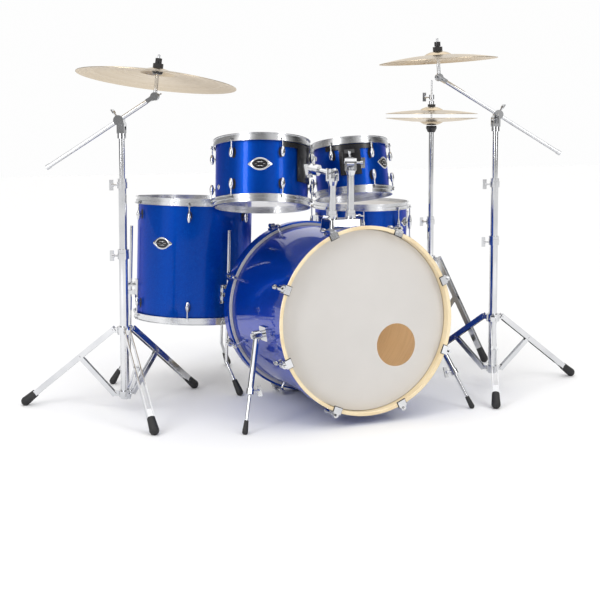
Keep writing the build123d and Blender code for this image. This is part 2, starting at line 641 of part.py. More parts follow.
def boom_stand(name, x, y, foot_radius, phase, collar, hub, clamps, crossing, cymbal_plane, drop, tail):
    """All pieces of a boom stand up to its cymbal tilter."""
    keep(stand_base(x, y, foot_radius, phase, collar, hub, clamps[0], LOWER_TUBE, MIDDLE_TUBE, BOLT_SIDE),
         f"{name}_stand_base")

    with BuildPart() as middle:
        rod(place(x, y, clamps[0] - 240), place(x, y, clamps[1] - 2), MIDDLE_TUBE)
        lock_ring(x, y, clamps[0], MIDDLE_TUBE + 5)
        collar_clamp(x, y, clamps[1], MIDDLE_TUBE + 4, BOLT_SIDE)
        rod(place(x, y, clamps[0] - 250), place(x, y, clamps[1] + 1), UPPER_TUBE + RUNNING_GAP,
            mode=Mode.SUBTRACT)
    keep(middle, f"{name}_stand_middle_tube")

    pivot = cymbal_plane.origin - cymbal_plane.z_dir * drop
    flat = Vector(pivot.X - place(x, y, 0).X, pivot.Y - place(x, y, 0).Y, 0)
    slope = Vector(flat.X, flat.Y, pivot.Z - crossing).normalized()
    across = Vector(-flat.Y, flat.X, 0).normalized()
    normal = slope.cross(across)
    if normal.Z < 0:
        normal = -normal
    hinge = place(x, y, crossing - BOOM_LIFT / normal.Z)
    passing = hinge + normal * BOOM_LIFT

    with BuildPart() as upper:
        rod(place(x, y, clamps[1] - 150), hinge - Vector(0, 0, 30), UPPER_TUBE)
        lock_ring(x, y, clamps[1], UPPER_TUBE + 5)
        rod(hinge - Vector(0, 0, 44), hinge - Vector(0, 0, 17), 14)
        for hand in (-1, 1):
            bar(hinge + across * hand * 15.5 - Vector(0, 0, 28), hinge + across * hand * 15.5, 7, 24, across)
            rod(hinge + across * hand * 12, hinge + across * hand * 19, 12)
        rod(hinge - across * 22, hinge + across * 22, 4)
        wing_bolt(hinge + across * 19, across, Vector(0, 0, 1))
        rod(hinge - across * 11.9, hinge + across * 11.9, 15, mode=Mode.SUBTRACT)
        rod(hinge - across * 12.5, hinge + across * 12.5, 4)
    keep(upper, f"{name}_stand_upper_tube")

    with BuildPart() as clamp:
        rod(hinge - across * 11.6, hinge + across * 11.6, 12)
        bar(hinge, passing, 23.2, 24, across)
        rod(passing - across * 11.6, passing + across * 11.6, 16)
        wing_bolt(passing + normal * 13, normal, across)
        rod(hinge - across * 20, hinge + across * 20, 4.1, mode=Mode.SUBTRACT)
        rod(passing - slope * 30, passing + slope * 30, BOOM_TUBE + RUNNING_GAP, mode=Mode.SUBTRACT)
    keep(clamp, f"{name}_boom_clamp")

    with BuildPart() as arm:
        rod(passing - slope * tail, pivot - slope * 16, BOOM_TUBE)
        rod(passing - slope * (tail + 6), passing - slope * (tail - 8), BOOM_TUBE + 1.5)
        bar(pivot - slope * 30, pivot - slope * 14, 26, 14, across)
        for hand in (-1, 1):
            bar(pivot - slope * 16 + across * hand * 10, pivot + across * hand * 10, 5, 15, across)
            rod(pivot + across * hand * 7.5, pivot + across * hand * 12.5, 13)
        rod(pivot - across * 14, pivot + across * 14, 3)
        wing_bolt(pivot + across * 12, across, slope)
    keep(arm, f"{name}_boom_arm")

    up = cymbal_plane.z_dir
    origin = cymbal_plane.origin
    rise, felt = CYMBAL_RISES[name]
    with BuildPart() as tilter:
        rod(pivot - across * 7.2, pivot + across * 7.2, 11.5)
        rod(pivot, origin + up * (rise + 30), TILTER_ROD - 0.1)
        rod(origin + up * (rise + 30), origin + up * (rise + 44), TILTER_ROD)
        rod(pivot + up * 4, origin + up * (felt - 12), 6)
        rod(origin + up * (felt - 14), origin + up * (felt - 10), 15)
        rod(origin + up * (felt - 9.8), origin + up * felt, 17)
        rod(origin + up * (rise + 0.4), origin + up * (rise + 15), 16.5)
        rod(origin + up * (rise + 15), origin + up * (rise + 17), 7)
        rod(origin + up * (rise + 17), origin + up * (rise + 32), 10.5)
        bar(origin + up * (rise + 20), origin + up * (rise + 31), 28, 6, across)
        rod(pivot - across * 15, pivot + across * 15, 3.1, mode=Mode.SUBTRACT)
    keep(tilter, f"{name}_cymbal_tilter")


def cymbal(plane, radius, bell_radius, bow_rise, bell_rise):
    """A thin domed disc with a raised bell and a centre hole."""
    middle = (radius + bell_radius) / 2
    middle_rise = bow_rise * (radius**2 - middle**2) / (radius**2 - bell_radius**2)
    shoulder_rise = bow_rise + 0.62 * bell_rise
    top = bow_rise + bell_rise
    with BuildPart() as disc:
        with BuildSketch(section_plane(plane)):
            with BuildLine():
                for drop in (0, CYMBAL_THICKNESS):
                    ThreePointArc((radius, -drop), (middle, middle_rise - drop), (bell_radius, bow_rise - drop))
                    ThreePointArc((bell_radius, bow_rise - drop), (bell_radius * 0.7, shoulder_rise - drop),
                                  (CYMBAL_HOLE, top - drop))
                Line((radius, 0), (radius, -CYMBAL_THICKNESS))
                Line((CYMBAL_HOLE, top), (CYMBAL_HOLE, top - CYMBAL_THICKNESS))
            make_face()
        revolve(axis=Axis(plane.origin, plane.z_dir))
    return disc


RIDE = upright(-543, 422, 1056, facing=0, lean=8.4, toward=23.4)
CRASH = upright(434, 352, 1133, facing=0, lean=3.4, toward=157.4)
RIDE_SIZE = (254, 58, 24, 15)
CRASH_SIZE = (203, 48, 20, 13)
HAT_SIZE = (178, 45, 14, 13)
CYMBAL_RISES = {"ride": (39, 35.2), "crash": (33, 29.0)}

boom_stand("ride", -646.5, 467, 334, 31, 256, 49, (508, 735), 937, RIDE, 50, 275)
keep(cymbal(RIDE, *RIDE_SIZE), "ride_cymbal")
boom_stand("crash", 628.6, 290, 334, 0, 239, 58, (516, 718), 955, CRASH, 56, 255)
keep(cymbal(CRASH, *CRASH_SIZE), "crash_cymbal")

# ---- snare stand ----
SNARE_X = 365.0
SNARE_Y = 816.0
BASKET_LEVEL = 447.0
BASKET_PHASE = -45.0

keep(stand_base(SNARE_X, SNARE_Y, 240, 84, 190, 50, 330, LOWER_TUBE, MIDDLE_TUBE, 20), "snare_stand_base")

with BuildPart() as basket:
    rod(place(SNARE_X, SNARE_Y, 150), place(SNARE_X, SNARE_Y, BASKET_LEVEL - 10), MIDDLE_TUBE)
    lock_ring(SNARE_X, SNARE_Y, 330, MIDDLE_TUBE + 5)
    rod(place(SNARE_X, SNARE_Y, BASKET_LEVEL - 22), place(SNARE_X, SNARE_Y, BASKET_LEVEL + 5), 24)
    for turn in range(3):
        out = compass(BASKET_PHASE + 120 * turn)
        across = compass(BASKET_PHASE + 120 * turn + 90)
        centre = place(SNARE_X, SNARE_Y, BASKET_LEVEL)
        bar(centre + out * 18, centre + out * 200, 16, 9, across)
        bar(centre + out * 196 - Vector(0, 0, 4.5), centre + out * 196 + Vector(0, 0, 34), 14, 8, across)
keep(basket, "snare_basket")

# ---- hi-hat stand ----
HAT_X = 658.0
HAT_Y = 795.0
HAT_TUBE = 12.7
HAT_SEAT = 900.0
HAT_LOW = 936.0
HAT_GAP = 18.0
ROD_TOP = 1083.0
PEDAL_ANGLE = 127.0
PULL_ROD = 3.0
HEEL_REACH = 290.0
PEDAL_OUT = compass(PEDAL_ANGLE)
PEDAL_ACROSS = compass(PEDAL_ANGLE + 90)
HAT_AXIS = place(HAT_X, HAT_Y, 0)

with BuildPart() as hat_base:
    tripod(HAT_X, HAT_Y, HAT_TUBE, 230, 67, 386, 130)
    rod(place(HAT_X, HAT_Y, 100), place(HAT_X, HAT_Y, 540), HAT_TUBE)
    collar_clamp(HAT_X, HAT_Y, 542, HAT_TUBE + 4, BOLT_SIDE)
    for side in (-1, 1):
        foot = HAT_AXIS + PEDAL_ACROSS * side * 44
        bar(foot + Vector(0, 0, 6), foot + PEDAL_OUT * 300 + Vector(0, 0, 6), 8, 8, PEDAL_ACROSS)
        bar(foot + Vector(0, 0, 2), foot + Vector(0, 0, 112), 8, 12, PEDAL_ACROSS)
    bar(HAT_AXIS - PEDAL_ACROSS * 48 + Vector(0, 0, 108), HAT_AXIS + PEDAL_ACROSS * 48 + Vector(0, 0, 108),
        12, 16, PEDAL_OUT)
    bar(HAT_AXIS + PEDAL_OUT * 262 + Vector(0, 0, 2.5), HAT_AXIS + PEDAL_OUT * 330 + Vector(0, 0, 2.5),
        96, 5, PEDAL_ACROSS)
    for side in (-1, 1):
        ear = HAT_AXIS + PEDAL_OUT * HEEL_REACH + PEDAL_ACROSS * side * 40
        bar(ear + Vector(0, 0, 5), ear + Vector(0, 0, 26), 6, 14, PEDAL_ACROSS)
    rod(HAT_AXIS + PEDAL_OUT * HEEL_REACH - PEDAL_ACROSS * 44 + Vector(0, 0, 20),
        HAT_AXIS + PEDAL_OUT * HEEL_REACH + PEDAL_ACROSS * 44 + Vector(0, 0, 20), 2.9)
    rod(place(HAT_X, HAT_Y, 90), place(HAT_X, HAT_Y, 160), PULL_ROD + 3, mode=Mode.SUBTRACT)
    rod(place(HAT_X, HAT_Y, 150), place(HAT_X, HAT_Y, 543), UPPER_TUBE + RUNNING_GAP, mode=Mode.SUBTRACT)
keep(hat_base, "hihat_stand_base")

with BuildPart() as hat_pedal:
    heel = HAT_AXIS + PEDAL_OUT * HEEL_REACH + Vector(0, 0, 20)
    toe = HAT_AXIS + PEDAL_OUT * 26 + Vector(0, 0, 62)
    bar(heel + (toe - heel) * 0.02, toe, 68, 5, PEDAL_ACROSS)
    rod(heel - PEDAL_ACROSS * 34, heel + PEDAL_ACROSS * 34, 5.5)
    rod(heel - PEDAL_ACROSS * 50, heel + PEDAL_ACROSS * 50, 3.0, mode=Mode.SUBTRACT)
    bar(toe, toe - PEDAL_OUT * 26, 16, 4, PEDAL_ACROSS)
    bar(HAT_AXIS + Vector(0, 0, 60), HAT_AXIS + Vector(0, 0, 78), 10, 3, PEDAL_ACROSS)
keep(hat_pedal, "hihat_pedal")

with BuildPart() as hat_tube:
    rod(place(HAT_X, HAT_Y, 330), place(HAT_X, HAT_Y, HAT_SEAT), UPPER_TUBE)
    lock_ring(HAT_X, HAT_Y, 542, UPPER_TUBE + 5)
    cone(place(HAT_X, HAT_Y, HAT_SEAT - 18), place(HAT_X, HAT_Y, HAT_SEAT), 14, 22)
    rod(place(HAT_X, HAT_Y, HAT_SEAT + 0.2), place(HAT_X, HAT_Y, HAT_SEAT + 7), 20)
    rod(place(HAT_X, HAT_Y, 329), place(HAT_X, HAT_Y, HAT_SEAT + 8), PULL_ROD + 1.5, mode=Mode.SUBTRACT)
keep(hat_tube, "hihat_upper_tube")

HAT_BOTTOM = Plane(origin=place(HAT_X, HAT_Y, HAT_LOW), x_dir=(1, 0, 0), z_dir=(0, 0, -1))
HAT_TOP = upright(HAT_X, HAT_Y, HAT_LOW + HAT_GAP)
keep(cymbal(HAT_BOTTOM, *HAT_SIZE), "hihat_bottom_cymbal")
keep(cymbal(HAT_TOP, *HAT_SIZE), "hihat_top_cymbal")

CLUTCH = HAT_LOW + HAT_GAP + HAT_SIZE[2] + HAT_SIZE[3]
with BuildPart() as clutch:
    rod(place(HAT_X, HAT_Y, 82), place(HAT_X, HAT_Y, ROD_TOP), PULL_ROD)
    rod(place(HAT_X, HAT_Y, CLUTCH - 14), place(HAT_X, HAT_Y, CLUTCH + 44), 5.5)
    rod(place(HAT_X, HAT_Y, CLUTCH - 12), place(HAT_X, HAT_Y, CLUTCH - 4.4), 14)
    rod(place(HAT_X, HAT_Y, CLUTCH + 0.3), place(HAT_X, HAT_Y, CLUTCH + 9), 15)
    rod(place(HAT_X, HAT_Y, CLUTCH + 9.2), place(HAT_X, HAT_Y, CLUTCH + 22), 10)
    rod(place(HAT_X, HAT_Y, CLUTCH + 28), place(HAT_X, HAT_Y, CLUTCH + 46), 10)
    wing_bolt(place(HAT_X, HAT_Y, CLUTCH + 37) + compass(BOLT_SIDE) * 8, compass(BOLT_SIDE), Vector(0, 0, 1))
keep(clutch, "hihat_rod_and_clutch")

# ---- throne ----
THRONE_X = 350.0
THRONE_Y = 1200.0
THRONE_TOP = 340.0
SEAT_RADIUS = 152.0
SEAT_BOTTOM = 418.0
SEAT_THICK = 64.0
THRONE_POST = 12.0

keep(stand_base(THRONE_X, THRONE_Y, 250, 90, 262, 60, THRONE_TOP, LOWER_TUBE, THRONE_POST, 200), "throne_base")

SEAT = upright(THRONE_X, THRONE_Y, SEAT_BOTTOM)
with BuildPart() as throne_seat:
    rod(place(THRONE_X, THRONE_Y, 190), place(THRONE_X, THRONE_Y, SEAT_BOTTOM - 8), THRONE_POST)
    rod(place(THRONE_X, THRONE_Y, SEAT_BOTTOM - 44), place(THRONE_X, THRONE_Y, SEAT_BOTTOM - 6), 22)
    rod(place(THRONE_X, THRONE_Y, SEAT_BOTTOM - 6), place(THRONE_X, THRONE_Y, SEAT_BOTTOM - 0.4), 70)
    with BuildSketch(section_plane(SEAT)):
        with BuildLine():
            Polyline((0, 0), (SEAT_RADIUS - 8, 0))
            RadiusArc((SEAT_RADIUS - 8, 0), (SEAT_RADIUS, 8), -8)
            Line((SEAT_RADIUS, 8), (SEAT_RADIUS, SEAT_THICK - 18))
            RadiusArc((SEAT_RADIUS, SEAT_THICK - 18), (SEAT_RADIUS - 18, SEAT_THICK), -18)
            Polyline((SEAT_RADIUS - 18, SEAT_THICK), (0, SEAT_THICK), (0, 0))
        make_face()
    revolve(axis=Axis(SEAT.origin, SEAT.z_dir))
keep(throne_seat, "throne_seat")

# ---------------------------------------------------------------- bass drum pedal

PEDAL_WIDTH = 62.0
AXLE_Y = 562.0
AXLE_Z = 205.0
PEDAL_HEEL_Y = 762.0
PEDAL_HEEL_Z = 22.0
BEATER_LEAN = 38.0
BEATER_LENGTH = 190.0

with BuildPart() as pedal_frame:
    bar(place(0, 520, 2.5), place(0, 800, 2.5), 70, 5, Vector(1, 0, 0))
    bar(place(0, 520, 2.5), place(0, 580, 2.5), 2 * PEDAL_WIDTH, 5, Vector(1, 0, 0))
    bar(place(0, 496, 18), place(0, 526, 18), 50, 10, Vector(1, 0, 0))
    bar(place(0, 523, 2), place(0, 523, 23), 50, 6, Vector(1, 0, 0))
    for side in (-1, 1):
        bar(place(side * 52, AXLE_Y, 4), place(side * 52, AXLE_Y, AXLE_Z + 14), 12, 22, Vector(1, 0, 0))
        bar(place(side * 31, PEDAL_HEEL_Y, 5), place(side * 31, PEDAL_HEEL_Y, 28), 6, 14, Vector(1, 0, 0))
    rod(place(-34, PEDAL_HEEL_Y, PEDAL_HEEL_Z), place(34, PEDAL_HEEL_Y, PEDAL_HEEL_Z), 2.9)
    rod(place(-70, AXLE_Y, AXLE_Z), place(70, AXLE_Y, AXLE_Z), 5.1, mode=Mode.SUBTRACT)
keep(pedal_frame, "bass_pedal_frame")

with BuildPart() as footboard:
    heel = place(0, PEDAL_HEEL_Y, PEDAL_HEEL_Z)
    toe = place(0, AXLE_Y + 30, 68)
    bar(heel + (toe - heel) * 0.02, toe, 52, 5, Vector(1, 0, 0))
    bar(heel + (toe - heel) * 0.3, toe + (toe - heel) * 0.04, 76, 5, Vector(1, 0, 0))
    rod(heel - Vector(26, 0, 0), heel + Vector(26, 0, 0), 5.5)
    rod(heel - Vector(40, 0, 0), heel + Vector(40, 0, 0), 3.0, mode=Mode.SUBTRACT)
    bar(toe, place(0, AXLE_Y + 31, AXLE_Z - 10), 12, 3, Vector(1, 0, 0))
keep(footboard, "bass_pedal_footboard")

with BuildPart() as beater:
    axle = place(0, AXLE_Y, AXLE_Z)
    lean = math.radians(BEATER_LEAN)
    up = Vector(0, math.sin(lean), math.cos(lean))
    rod(axle - Vector(62, 0, 0), axle + Vector(62, 0, 0), 5)
    rod(axle - Vector(14, 0, 0), axle + Vector(14, 0, 0), 14)
    rod(axle - Vector(7, 0, 0), axle + Vector(7, 0, 0), 28)
    rod(axle, axle + up * BEATER_LENGTH, 4)
    face = up.cross(Vector(1, 0, 0))
    tip = axle + up * (BEATER_LENGTH - 8)
    rod(tip - face * 21, tip + face * 21, 21)
keep(beater, "bass_pedal_beater")
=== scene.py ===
import math
import bmesh
import bpy
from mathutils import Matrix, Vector


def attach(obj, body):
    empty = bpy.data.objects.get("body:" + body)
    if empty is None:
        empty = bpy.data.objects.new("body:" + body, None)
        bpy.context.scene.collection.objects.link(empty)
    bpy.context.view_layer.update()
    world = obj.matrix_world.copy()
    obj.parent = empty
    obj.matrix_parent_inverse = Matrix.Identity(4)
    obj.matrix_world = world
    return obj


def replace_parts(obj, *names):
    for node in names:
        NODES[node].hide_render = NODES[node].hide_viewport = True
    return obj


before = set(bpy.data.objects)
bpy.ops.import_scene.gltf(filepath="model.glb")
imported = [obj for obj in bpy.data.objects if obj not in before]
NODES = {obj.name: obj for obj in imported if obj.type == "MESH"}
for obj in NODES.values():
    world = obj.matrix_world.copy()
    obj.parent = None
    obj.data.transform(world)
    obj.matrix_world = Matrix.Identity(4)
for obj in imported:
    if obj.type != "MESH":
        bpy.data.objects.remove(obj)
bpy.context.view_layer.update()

KIT = Vector((0.01199, 0.71754, 0.0))


def place(x, y, z):
    """A point given from the floor under the bass drum's front, in metres."""
    return Vector((x, y, z)) - KIT


def compass(angle):
    """Level unit vector at an angle from +X towards +Y."""
    return Vector((math.cos(math.radians(angle)), math.sin(math.radians(angle)), 0.0))


def drum(x, y, z, radius, depth, facing, lean=0.0, toward=0.0):
    """A drum's centre, axis and badge direction, as part.py places them."""
    axis = compass(toward) * math.sin(math.radians(lean))
    axis.z = math.cos(math.radians(lean))
    face = compass(facing)
    face = (face - axis * face.dot(axis)).normalized()
    return {"centre": place(x, y, z), "axis": axis, "face": face, "side": axis.cross(face),
            "radius": radius, "depth": depth}


TOM12 = drum(-0.201, 0.389, 0.754, 0.151, 0.196, 247.4, 12.0, 67.4)
TOM10 = drum(0.171, 0.489, 0.757, 0.1255, 0.170, 308.5, 12.0, 90.0)
FLOOR_TOM = drum(-0.318, 0.763, 0.4435, 0.2015, 0.406, 247.4, 2.6, 35.0)
SNARE_SPOT = (0.365, 0.816)
SNARE_TURN = -45.0
SNARE = drum(*SNARE_SPOT, 0.539, 0.175, 0.140, SNARE_TURN)
HIHAT_SPOT = (0.658, 0.795)
THRONE_SPOT = (0.350, 1.200)
TOM12_LUGS = (6, -34)
TOM10_LUGS = (6, -32)
FLOOR_TOM_LUGS = (6, -60)
BASS_LUGS = (8, 22.5)
BASS_TILT = math.radians(3.13)
BASS_AXIS = Vector((0.0, -math.cos(BASS_TILT), math.sin(BASS_TILT)))
BASS_LENGTH = 0.515
BASS_HOOP = 0.292
BASS_HOOP_DEPTH = 0.038
BASS_CENTRE = place(0.0, BASS_LENGTH / 2 * math.cos(BASS_TILT),
                    BASS_HOOP * math.cos(BASS_TILT) + BASS_LENGTH / 2 * math.sin(BASS_TILT))
BASS = {"centre": BASS_CENTRE, "axis": BASS_AXIS, "face": Vector((1.0, 0.0, 0.0)),
        "side": BASS_AXIS.cross(Vector((1.0, 0.0, 0.0))), "radius": 0.277, "depth": 0.457}


# ---------------------------------------------------------------- materials

class Recipe:
    """A node tree round one Principled shader, with short calls for what it needs."""

    def __init__(self, name, colour, rough, metal=0.0, **sockets):
        self.material = bpy.data.materials.new(name)
        self.material.use_nodes = True
        self.tree = self.material.node_tree
        self.shader = self.tree.nodes["Principled BSDF"]
        self.set("Base Color", (*colour, 1.0))
        self.set("Roughness", rough)
        self.set("Metallic", metal)
        for socket, value in sockets.items():
            self.set(socket.replace("_", " "), value)

    def set(self, socket, value):
        self.shader.inputs[socket].default_value = value

    def node(self, kind, **settings):
        made = self.tree.nodes.new(kind)
        for key, value in settings.items():
            if key in made.inputs:
                made.inputs[key].default_value = value
            else:
                setattr(made, key, value)
        return made

    def link(self, source, target):
        self.tree.links.new(source, target)

    def place(self, scale=(1.0, 1.0, 1.0)):
        """Object coordinates, stretched."""
        where = self.node("ShaderNodeTexCoord")
        mapping = self.node("ShaderNodeMapping")
        mapping.inputs["Scale"].default_value = scale
        self.link(where.outputs["Object"], mapping.inputs["Vector"])
        return mapping.outputs["Vector"]

    def noise(self, scale, detail=3.0, stretch=(1.0, 1.0, 1.0), rough=0.5):
        made = self.node("ShaderNodeTexNoise")
        made.inputs["Scale"].default_value = scale
        made.inputs["Detail"].default_value = detail
        made.inputs["Roughness"].default_value = rough
        self.link(self.place(stretch), made.inputs["Vector"])
        return made.outputs["Fac"]

    def cells(self, scale, output="Color"):
        made = self.node("ShaderNodeTexVoronoi")
        made.inputs["Scale"].default_value = scale
        self.link(self.place(), made.inputs["Vector"])
        return made.outputs[output]

    def ramp(self, source, stops):
        made = self.node("ShaderNodeValToRGB")
        while len(made.color_ramp.elements) < len(stops):
            made.color_ramp.elements.new(0.5)
        for element, (position, colour) in zip(made.color_ramp.elements, stops):
            element.position = position
            element.color = (*colour, 1.0) if len(colour) == 3 else colour
        self.link(source, made.inputs["Fac"])
        return made.outputs["Color"]

    def spread(self, source, low, high, socket):
        """Drive a socket between two values."""
        made = self.node("ShaderNodeMapRange")
        made.inputs["To Min"].default_value = low
        made.inputs["To Max"].default_value = high
        self.link(source, made.inputs["Value"])
        self.link(made.outputs["Result"], self.shader.inputs[socket])

    def bump(self, source, strength, distance):
        made = self.node("ShaderNodeBump")
        made.inputs["Strength"].default_value = strength
        made.inputs["Distance"].default_value = distance
        self.link(source, made.inputs["Height"])
        if self.shader.inputs["Normal"].is_linked:
            self.link(self.shader.inputs["Normal"].links[0].from_socket, made.inputs["Normal"])
        self.link(made.outputs["Normal"], self.shader.inputs["Normal"])


def blue_wrap(name, coat):
    """Deep blue metallic wrap: fine flakes under a clear glossy coat."""
    recipe = Recipe(name, (0.001, 0.045, 0.42), 0.30, 0.6, Specular_IOR_Level=0.15,
                    Specular_Tint=(0.12, 0.28, 1.0, 1.0), Coat_Weight=coat,
                    Coat_Roughness=0.03, Coat_IOR=1.45)
    flakes = recipe.cells(1400.0)
    tone = recipe.ramp(flakes, [(0.0, (0.0, 0.028, 0.24)), (0.6, (0.0, 0.053, 0.40)),
                                (1.0, (0.004, 0.13, 0.66))])
    recipe.link(tone, recipe.shader.inputs["Base Color"])
    recipe.spread(recipe.noise(900.0, 1.0), 0.24, 0.42, "Roughness")
    recipe.bump(flakes, 0.06, 0.0002)
    return recipe.material


def chrome(name="chrome", smooth=0.035, worn=0.15, bright=1.0):
    """Polished chrome with faint smears and handling marks, between two roughnesses."""
    recipe = Recipe(name, (0.66, 0.67, 0.69), 0.07, 1.0)
    recipe.spread(recipe.noise(38.0, 5.0), smooth, worn, "Roughness")
    dull = (0.60 * bright, 0.61 * bright, 0.63 * bright)
    clean = (0.70 * bright, 0.705 * bright, 0.72 * bright)
    tone = recipe.ramp(recipe.noise(14.0, 3.0), [(0.3, dull), (0.7, clean)])
    recipe.link(tone, recipe.shader.inputs["Base Color"])
    recipe.bump(recipe.noise(260.0, 2.0), 0.02, 0.0001)
    return recipe.material


def brushed(name, colour, stretch):
    """Brushed light metal with a directional grain."""
    recipe = Recipe(name, colour, 0.3, 1.0, Anisotropic=0.4)
    grain = recipe.noise(60.0, 6.0, stretch)
    recipe.spread(grain, 0.2, 0.42, "Roughness")
    recipe.bump(grain, 0.05, 0.0002)
    return recipe.material


def bronze(name, centre, axis):
    """Pale lathed bronze: rings of tone grooves round the cymbal's own axis, and hammer marks."""
    recipe = Recipe(name, (0.60, 0.49, 0.34), 0.3, 1.0, Anisotropic=0.7)
    where = recipe.node("ShaderNodeTexCoord")
    offset = recipe.node("ShaderNodeVectorMath", operation="SUBTRACT")
    offset.inputs[1].default_value = centre
    recipe.link(where.outputs["Object"], offset.inputs[0])
    away = recipe.node("ShaderNodeVectorMath", operation="CROSS_PRODUCT")
    away.inputs[1].default_value = axis
    recipe.link(offset.outputs[0], away.inputs[0])
    recipe.link(away.outputs[0], recipe.shader.inputs["Tangent"])
    radius = recipe.node("ShaderNodeVectorMath", operation="LENGTH")
    recipe.link(away.outputs[0], radius.inputs[0])
    line = recipe.node("ShaderNodeCombineXYZ")
    recipe.link(radius.outputs["Value"], line.inputs["X"])
    grooves = recipe.node("ShaderNodeTexNoise")
    grooves.inputs["Scale"].default_value = 480.0
    grooves.inputs["Detail"].default_value = 3.0
    recipe.link(line.outputs[0], grooves.inputs["Vector"])
    bands = recipe.node("ShaderNodeTexNoise")
    bands.inputs["Scale"].default_value = 55.0
    bands.inputs["Detail"].default_value = 2.0
    recipe.link(line.outputs[0], bands.inputs["Vector"])
    tone = recipe.ramp(bands.outputs["Fac"], [(0.25, (0.57, 0.46, 0.32)), (0.5, (0.61, 0.505, 0.36)),
                                              (0.75, (0.66, 0.56, 0.42))])
    recipe.link(tone, recipe.shader.inputs["Base Color"])
    recipe.spread(grooves.outputs["Fac"], 0.20, 0.40, "Roughness")
    recipe.bump(grooves.outputs["Fac"], 0.35, 0.0004)
    recipe.bump(recipe.cells(42.0, "Distance"), 0.05, 0.001)
    return recipe.material


def maple(name="maple", light=(0.86, 0.72, 0.47), dark=(0.72, 0.55, 0.31)):
    """Lacquered maple with fine stretched grain."""
    recipe = Recipe(name, light, 0.34, 0.0, Coat_Weight=0.6, Coat_Roughness=0.12)
    grain = recipe.noise(9.0, 6.0, (1.0, 12.0, 1.0), 0.6)
    recipe.link(recipe.ramp(grain, [(0.3, dark), (0.55, light), (0.8, light)]),
                recipe.shader.inputs["Base Color"])
    recipe.spread(grain, 0.28, 0.45, "Roughness")
    recipe.bump(grain, 0.08, 0.0004)
    return recipe.material


def film(name, colour, dark, rough, grain, coat=0.0):
    """Drumhead film: plain or sprayed with a fine coating."""
    recipe = Recipe(name, colour, rough, 0.0, Coat_Weight=coat, Coat_Roughness=0.08)
    cloud = recipe.noise(5.0, 4.0)
    recipe.link(recipe.ramp(cloud, [(0.3, dark), (0.7, colour)]), recipe.shader.inputs["Base Color"])
    speckle = recipe.noise(grain, 2.0)
    recipe.spread(speckle, rough - 0.06, rough + 0.1, "Roughness")
    recipe.bump(speckle, 0.12, 0.0002)
    return recipe.material


def moulded(name, colour, rough, grain, strength=0.25):
    """Rubber or moulded plastic with a fine tooth and slightly worn tone."""
    recipe = Recipe(name, colour, rough)
    worn = tuple(min(1.0, 1.8 * channel + 0.01) for channel in colour)
    recipe.link(recipe.ramp(recipe.noise(20.0, 5.0), [(0.35, colour), (0.85, worn)]),
                recipe.shader.inputs["Base Color"])
    tooth = recipe.noise(grain, 2.0)
    recipe.spread(tooth, rough - 0.08, rough + 0.12, "Roughness")
    recipe.bump(tooth, strength, 0.0003)
    return recipe.material


def felt(name, colour):
    """Pressed felt: matt, fuzzy, with a soft sheen."""
    recipe = Recipe(name, colour, 0.95, 0.0, Sheen_Weight=0.6, Sheen_Roughness=0.4)
    fuzz = recipe.noise(700.0, 4.0)
    lighter = tuple(min(1.0, 1.6 * channel + 0.02) for channel in colour)
    recipe.link(recipe.ramp(fuzz, [(0.35, colour), (0.7, lighter)]), recipe.shader.inputs["Base Color"])
    recipe.bump(fuzz, 0.6, 0.0008)
    return recipe.material


def vinyl():
    """Black upholstery vinyl with a leather grain."""
    recipe = Recipe("black_vinyl", (0.008, 0.008, 0.009), 0.5, 0.0, Specular_IOR_Level=0.3)
    grain = recipe.cells(420.0, "Distance")
    recipe.spread(grain, 0.42, 0.62, "Roughness")
    recipe.bump(grain, 0.35, 0.0006)
    recipe.bump(recipe.noise(14.0, 3.0), 0.2, 0.002)
    return recipe.material


WRAP = blue_wrap("blue_wrap", 0.25)
BASS_WRAP = blue_wrap("bass_wrap", 0.9)
CHROME = chrome()
HOOP_CHROME = chrome("hoop_chrome", 0.20, 0.30, 1.12)
MAPLE = maple()
PLY = maple("shell_ply", (0.74, 0.53, 0.29), (0.66, 0.46, 0.24))
COATED = film("coated_head", (0.64, 0.618, 0.595), (0.60, 0.58, 0.557), 0.55, 900.0)
CLEAR = film("clear_head", (0.60, 0.58, 0.59), (0.42, 0.40, 0.42), 0.16, 60.0, 0.8)
# Black rubber, also used as painted shade round the drums' lugs.
RUBBER_AND_LUG_SHADE = moulded("black_rubber_and_lug_shade", (0.012, 0.012, 0.013), 0.6, 300.0)
PLASTIC = moulded("black_plastic", (0.018, 0.018, 0.02), 0.38, 500.0, 0.1)
FELT = felt("black_felt", (0.02, 0.02, 0.022))
BEATER_FELT = felt("beater_felt", (0.62, 0.60, 0.55))
VINYL = vinyl()
GREY = moulded("grey_casting", (0.24, 0.25, 0.27), 0.45, 400.0, 0.12)
ALUMINIUM = brushed("brushed_aluminium", (0.72, 0.73, 0.75), (1.0, 30.0, 1.0))
STEEL = brushed("brushed_steel", (0.60, 0.61, 0.63), (1.0, 1.0, 30.0))
# Black enamel, also used as painted shade in the vent and post holes.
ENAMEL_AND_HOLE_SHADE = moulded("black_enamel_and_hole_shade", (0.01, 0.01, 0.012), 0.2, 50.0, 0.02)


# ---------------------------------------------------------------- painting the CAD nodes

def local(plane, point):
    """How far a point lies from a drum's or cymbal's axis, and how high along it."""
    offset = point - plane["centre"]
    height = offset.dot(plane["axis"])
    return (offset - plane["axis"] * height).length, height


def paint(name, base, *rules):
    """Give a CAD node its material; a rule (material, test) picks faces by their middle."""
    mesh = NODES[name].data
    mesh.materials.clear()
    mesh.materials.append(base)
    for material, test in rules:
        mesh.materials.append(material)
    for face in mesh.polygons:
        face.material_index = 0
        for index, (material, test) in enumerate(rules, start=1):
            if test(face.center):
                face.material_index = index


def shell_inside(plane):
    """Faces on the bare wood inside a shell."""
    return lambda centre: local(plane, centre)[0] < plane["radius"] - 0.0004


def upper_half(plane):
    """Faces above a drum's middle."""
    return lambda centre: local(plane, centre)[1] > 0.0


